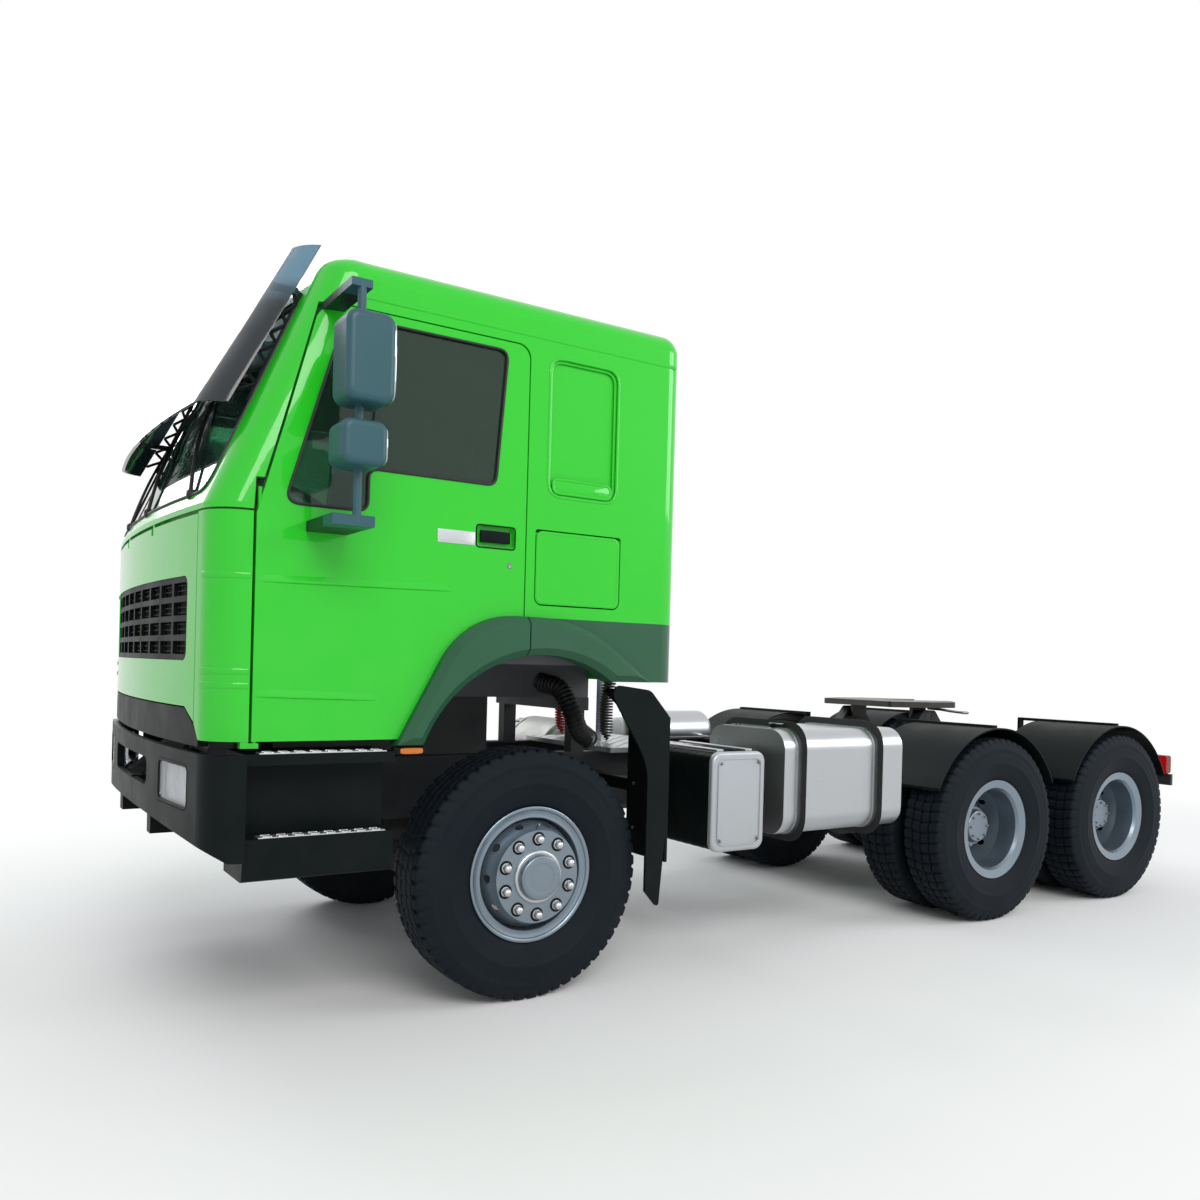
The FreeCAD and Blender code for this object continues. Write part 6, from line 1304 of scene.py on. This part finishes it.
def through(points, count=40):
    """A smooth curve through a few points.

    Between each two it is a cubic whose slope at a point is half the step from the point before it to
    the point after it.
    """
    points = np.asarray(points, float)
    padded = np.vstack([2 * points[0] - points[1], points, 2 * points[-1] - points[-2]])
    t = np.linspace(0, 1, count, endpoint=False)[:, None]
    rows = []
    for i in range(1, len(padded) - 2):
        p0, p1, p2, p3 = padded[i - 1:i + 3]
        rows.append(0.5 * (2 * p1 + (p2 - p0) * t + (2 * p0 - 5 * p1 + 4 * p2 - p3) * t ** 2
                           + (3 * p1 - p0 - 3 * p2 + p3) * t ** 3))
    return np.vstack(rows + [points[-1:]])


intake_path = through([(1.50, 0.45, 1.41), (1.44, 0.56, 1.375), (1.40, 0.62, 1.26), (1.34, 0.60, 1.16),
                       (1.24, 0.55, 1.11)])
piece("intake_hose", corrugated(intake_path, 0.048, 0.020, 0.004), "chassis", SEAL)
clamp = turned_shape([(0.050, -0.008), (0.056, -0.008), (0.056, 0.008), (0.050, 0.008)],
                     (1.262, 0.562, 1.117), "x", 28)
piece("intake_clamp", clamp, "chassis", ZINC)


def coil(start, end, radius, turns, wire):
    """A stretched coil of air line: a helix from one fitting to the other, bowed by half a sine wave.

    Its radius grows from nearly nothing in the first twelfth of the way, and shrinks so in the last.
    """
    t = np.linspace(0, 1, turns * 16)
    swell = radius * np.clip(np.minimum(t, 1 - t) * 12, 0.05, 1)
    line = np.asarray(start) + (np.asarray(end) - np.asarray(start)) * t[:, None]
    line[:, 0] += 0.05 * np.sin(math.pi * t) + swell * np.cos(TURN * turns * t)
    line[:, 1] += swell * np.sin(TURN * turns * t)
    return along_path(line, circle_loop(wire, 8), up=(0.02, 0.03, 1))


for name, y, hose in (("red", -0.30, RED_HOSE), ("blue", -0.16, BLUE_HOSE), ("black", 0.20, SEAL)):
    piece(f"air_line_{name}", coil((0.805, y, 1.64), (0.90, y, 1.075), 0.036, 34, 0.0055), "chassis", hose)

stem_path = through([(0, 0, 0), (0, 0.018, 0.004), (0, 0.040, 0.014), (0, 0.060, 0.026)], 8)
stem = along_path(stem_path + (AXLE_X, 1.128, WHEEL_Z + 0.205), circle_loop(0.0045, 10), up=(1, 0, 0))
pair("valve_stem_front", stem, "front_SIDE_wheel", ZINC)


# Room

FLOOR_POINTS = 25
FLOOR_HALF = 30.0
FLOOR_DROP = 0.0005


def seen_rays(tree):
    """1 for a ray that shows the room itself: straight, mirrored or through glass."""
    rays = tree.nodes.new("ShaderNodeLightPath").outputs
    return maths(tree, "MAXIMUM", rays["Is Camera Ray"],
                 maths(tree, "MAXIMUM", rays["Is Glossy Ray"], rays["Is Transmission Ray"]))


def floor_finish():
    """Pale studio floor: it takes the object's shadow near by and runs out to plain white far off."""
    material, tree, shader, place = new_material("studio_floor")
    tone = remap(tree, noise(tree, place, 0.6, 2.0), 0.3, 0.7, 0.93, 0.95)
    grey = put(tree, "CombineColor", {0: tone, 1: tone, 2: tone}).outputs[0]
    tree.links.new(grey, shader.inputs["Base Color"])
    plain_inputs(shader, {"Roughness": 0.9, "Specular IOR Level": 0.1})
    oval = stretch(tree, place, (0.55, 1.0, 1.0))
    distance = put(tree, "VectorMath", {0: oval}, operation="LENGTH").outputs["Value"]
    far = maths(tree, "MULTIPLY", remap(tree, distance, 2.4, 5.4), seen_rays(tree))
    glow = put(tree, "Emission", {"Color": (1, 1, 1, 1), "Strength": 1.0}).outputs[0]
    blend = put(tree, "MixShader", {0: far, 1: shader.outputs[0], 2: glow})
    tree.links.new(blend.outputs[0], tree.nodes["Material Output"].inputs["Surface"])
    return material


def floor_sheet():
    """A wide flat floor just under the wheels, its faces up."""
    side = np.linspace(-1, 1, FLOOR_POINTS) * FLOOR_HALF
    y, x = np.meshgrid(side, side)
    points = np.stack([x, y, np.full_like(x, -FLOOR_DROP)], 2)
    return points.reshape(-1, 3), grid_faces(FLOOR_POINTS, FLOOR_POINTS, False, False)[:, ::-1]


floor_mesh = mesh_of("floor", floor_sheet())
floor = bpy.data.objects.new("floor", floor_mesh)
bpy.context.collection.objects.link(floor)
floor_mesh.materials.append(floor_finish())

world = bpy.data.worlds.new("studio")
bpy.context.scene.world = world
world.use_nodes = True
sky = world.node_tree
sky.nodes.clear()
soft = put(sky, "Background", {"Color": (0.95, 0.975, 1.0, 1), "Strength": 0.52})
white = put(sky, "Background", {"Color": (1, 1, 1, 1), "Strength": 1.0})
mixed = put(sky, "MixShader", {0: seen_rays(sky), 1: soft.outputs[0], 2: white.outputs[0]})
sky.links.new(mixed.outputs[0], sky.nodes.new("ShaderNodeOutputWorld").inputs[0])


def area_lamp(name, place, aim, size, power, tint):
    """A rectangular lamp that faces a point."""
    lamp = bpy.data.lights.new(name, "AREA")
    lamp.shape = "RECTANGLE"
    lamp.size, lamp.size_y = size
    lamp.energy = power
    lamp.color = tint
    thing = bpy.data.objects.new(name, lamp)
    bpy.context.collection.objects.link(thing)
    direction = Vector(aim) - Vector(place)
    thing.matrix_world = Matrix.Translation(place) @ direction.to_track_quat("-Z", "Y").to_matrix().to_4x4()


area_lamp("key_panel", (5.0, 15.0, 11.0), (0.6, 0.8, 1.4), (11, 7), 1550, (1.0, 0.985, 0.96))
area_lamp("side_panel", (-9.0, 8.0, 6.0), (-1.0, 0.0, 1.0), (6, 4), 380, (0.95, 0.98, 1.0))
area_lamp("far_panel", (3.0, -12.0, 8.0), (0.5, 0, 1.2), (9, 6), 800, (0.97, 0.99, 1.0))
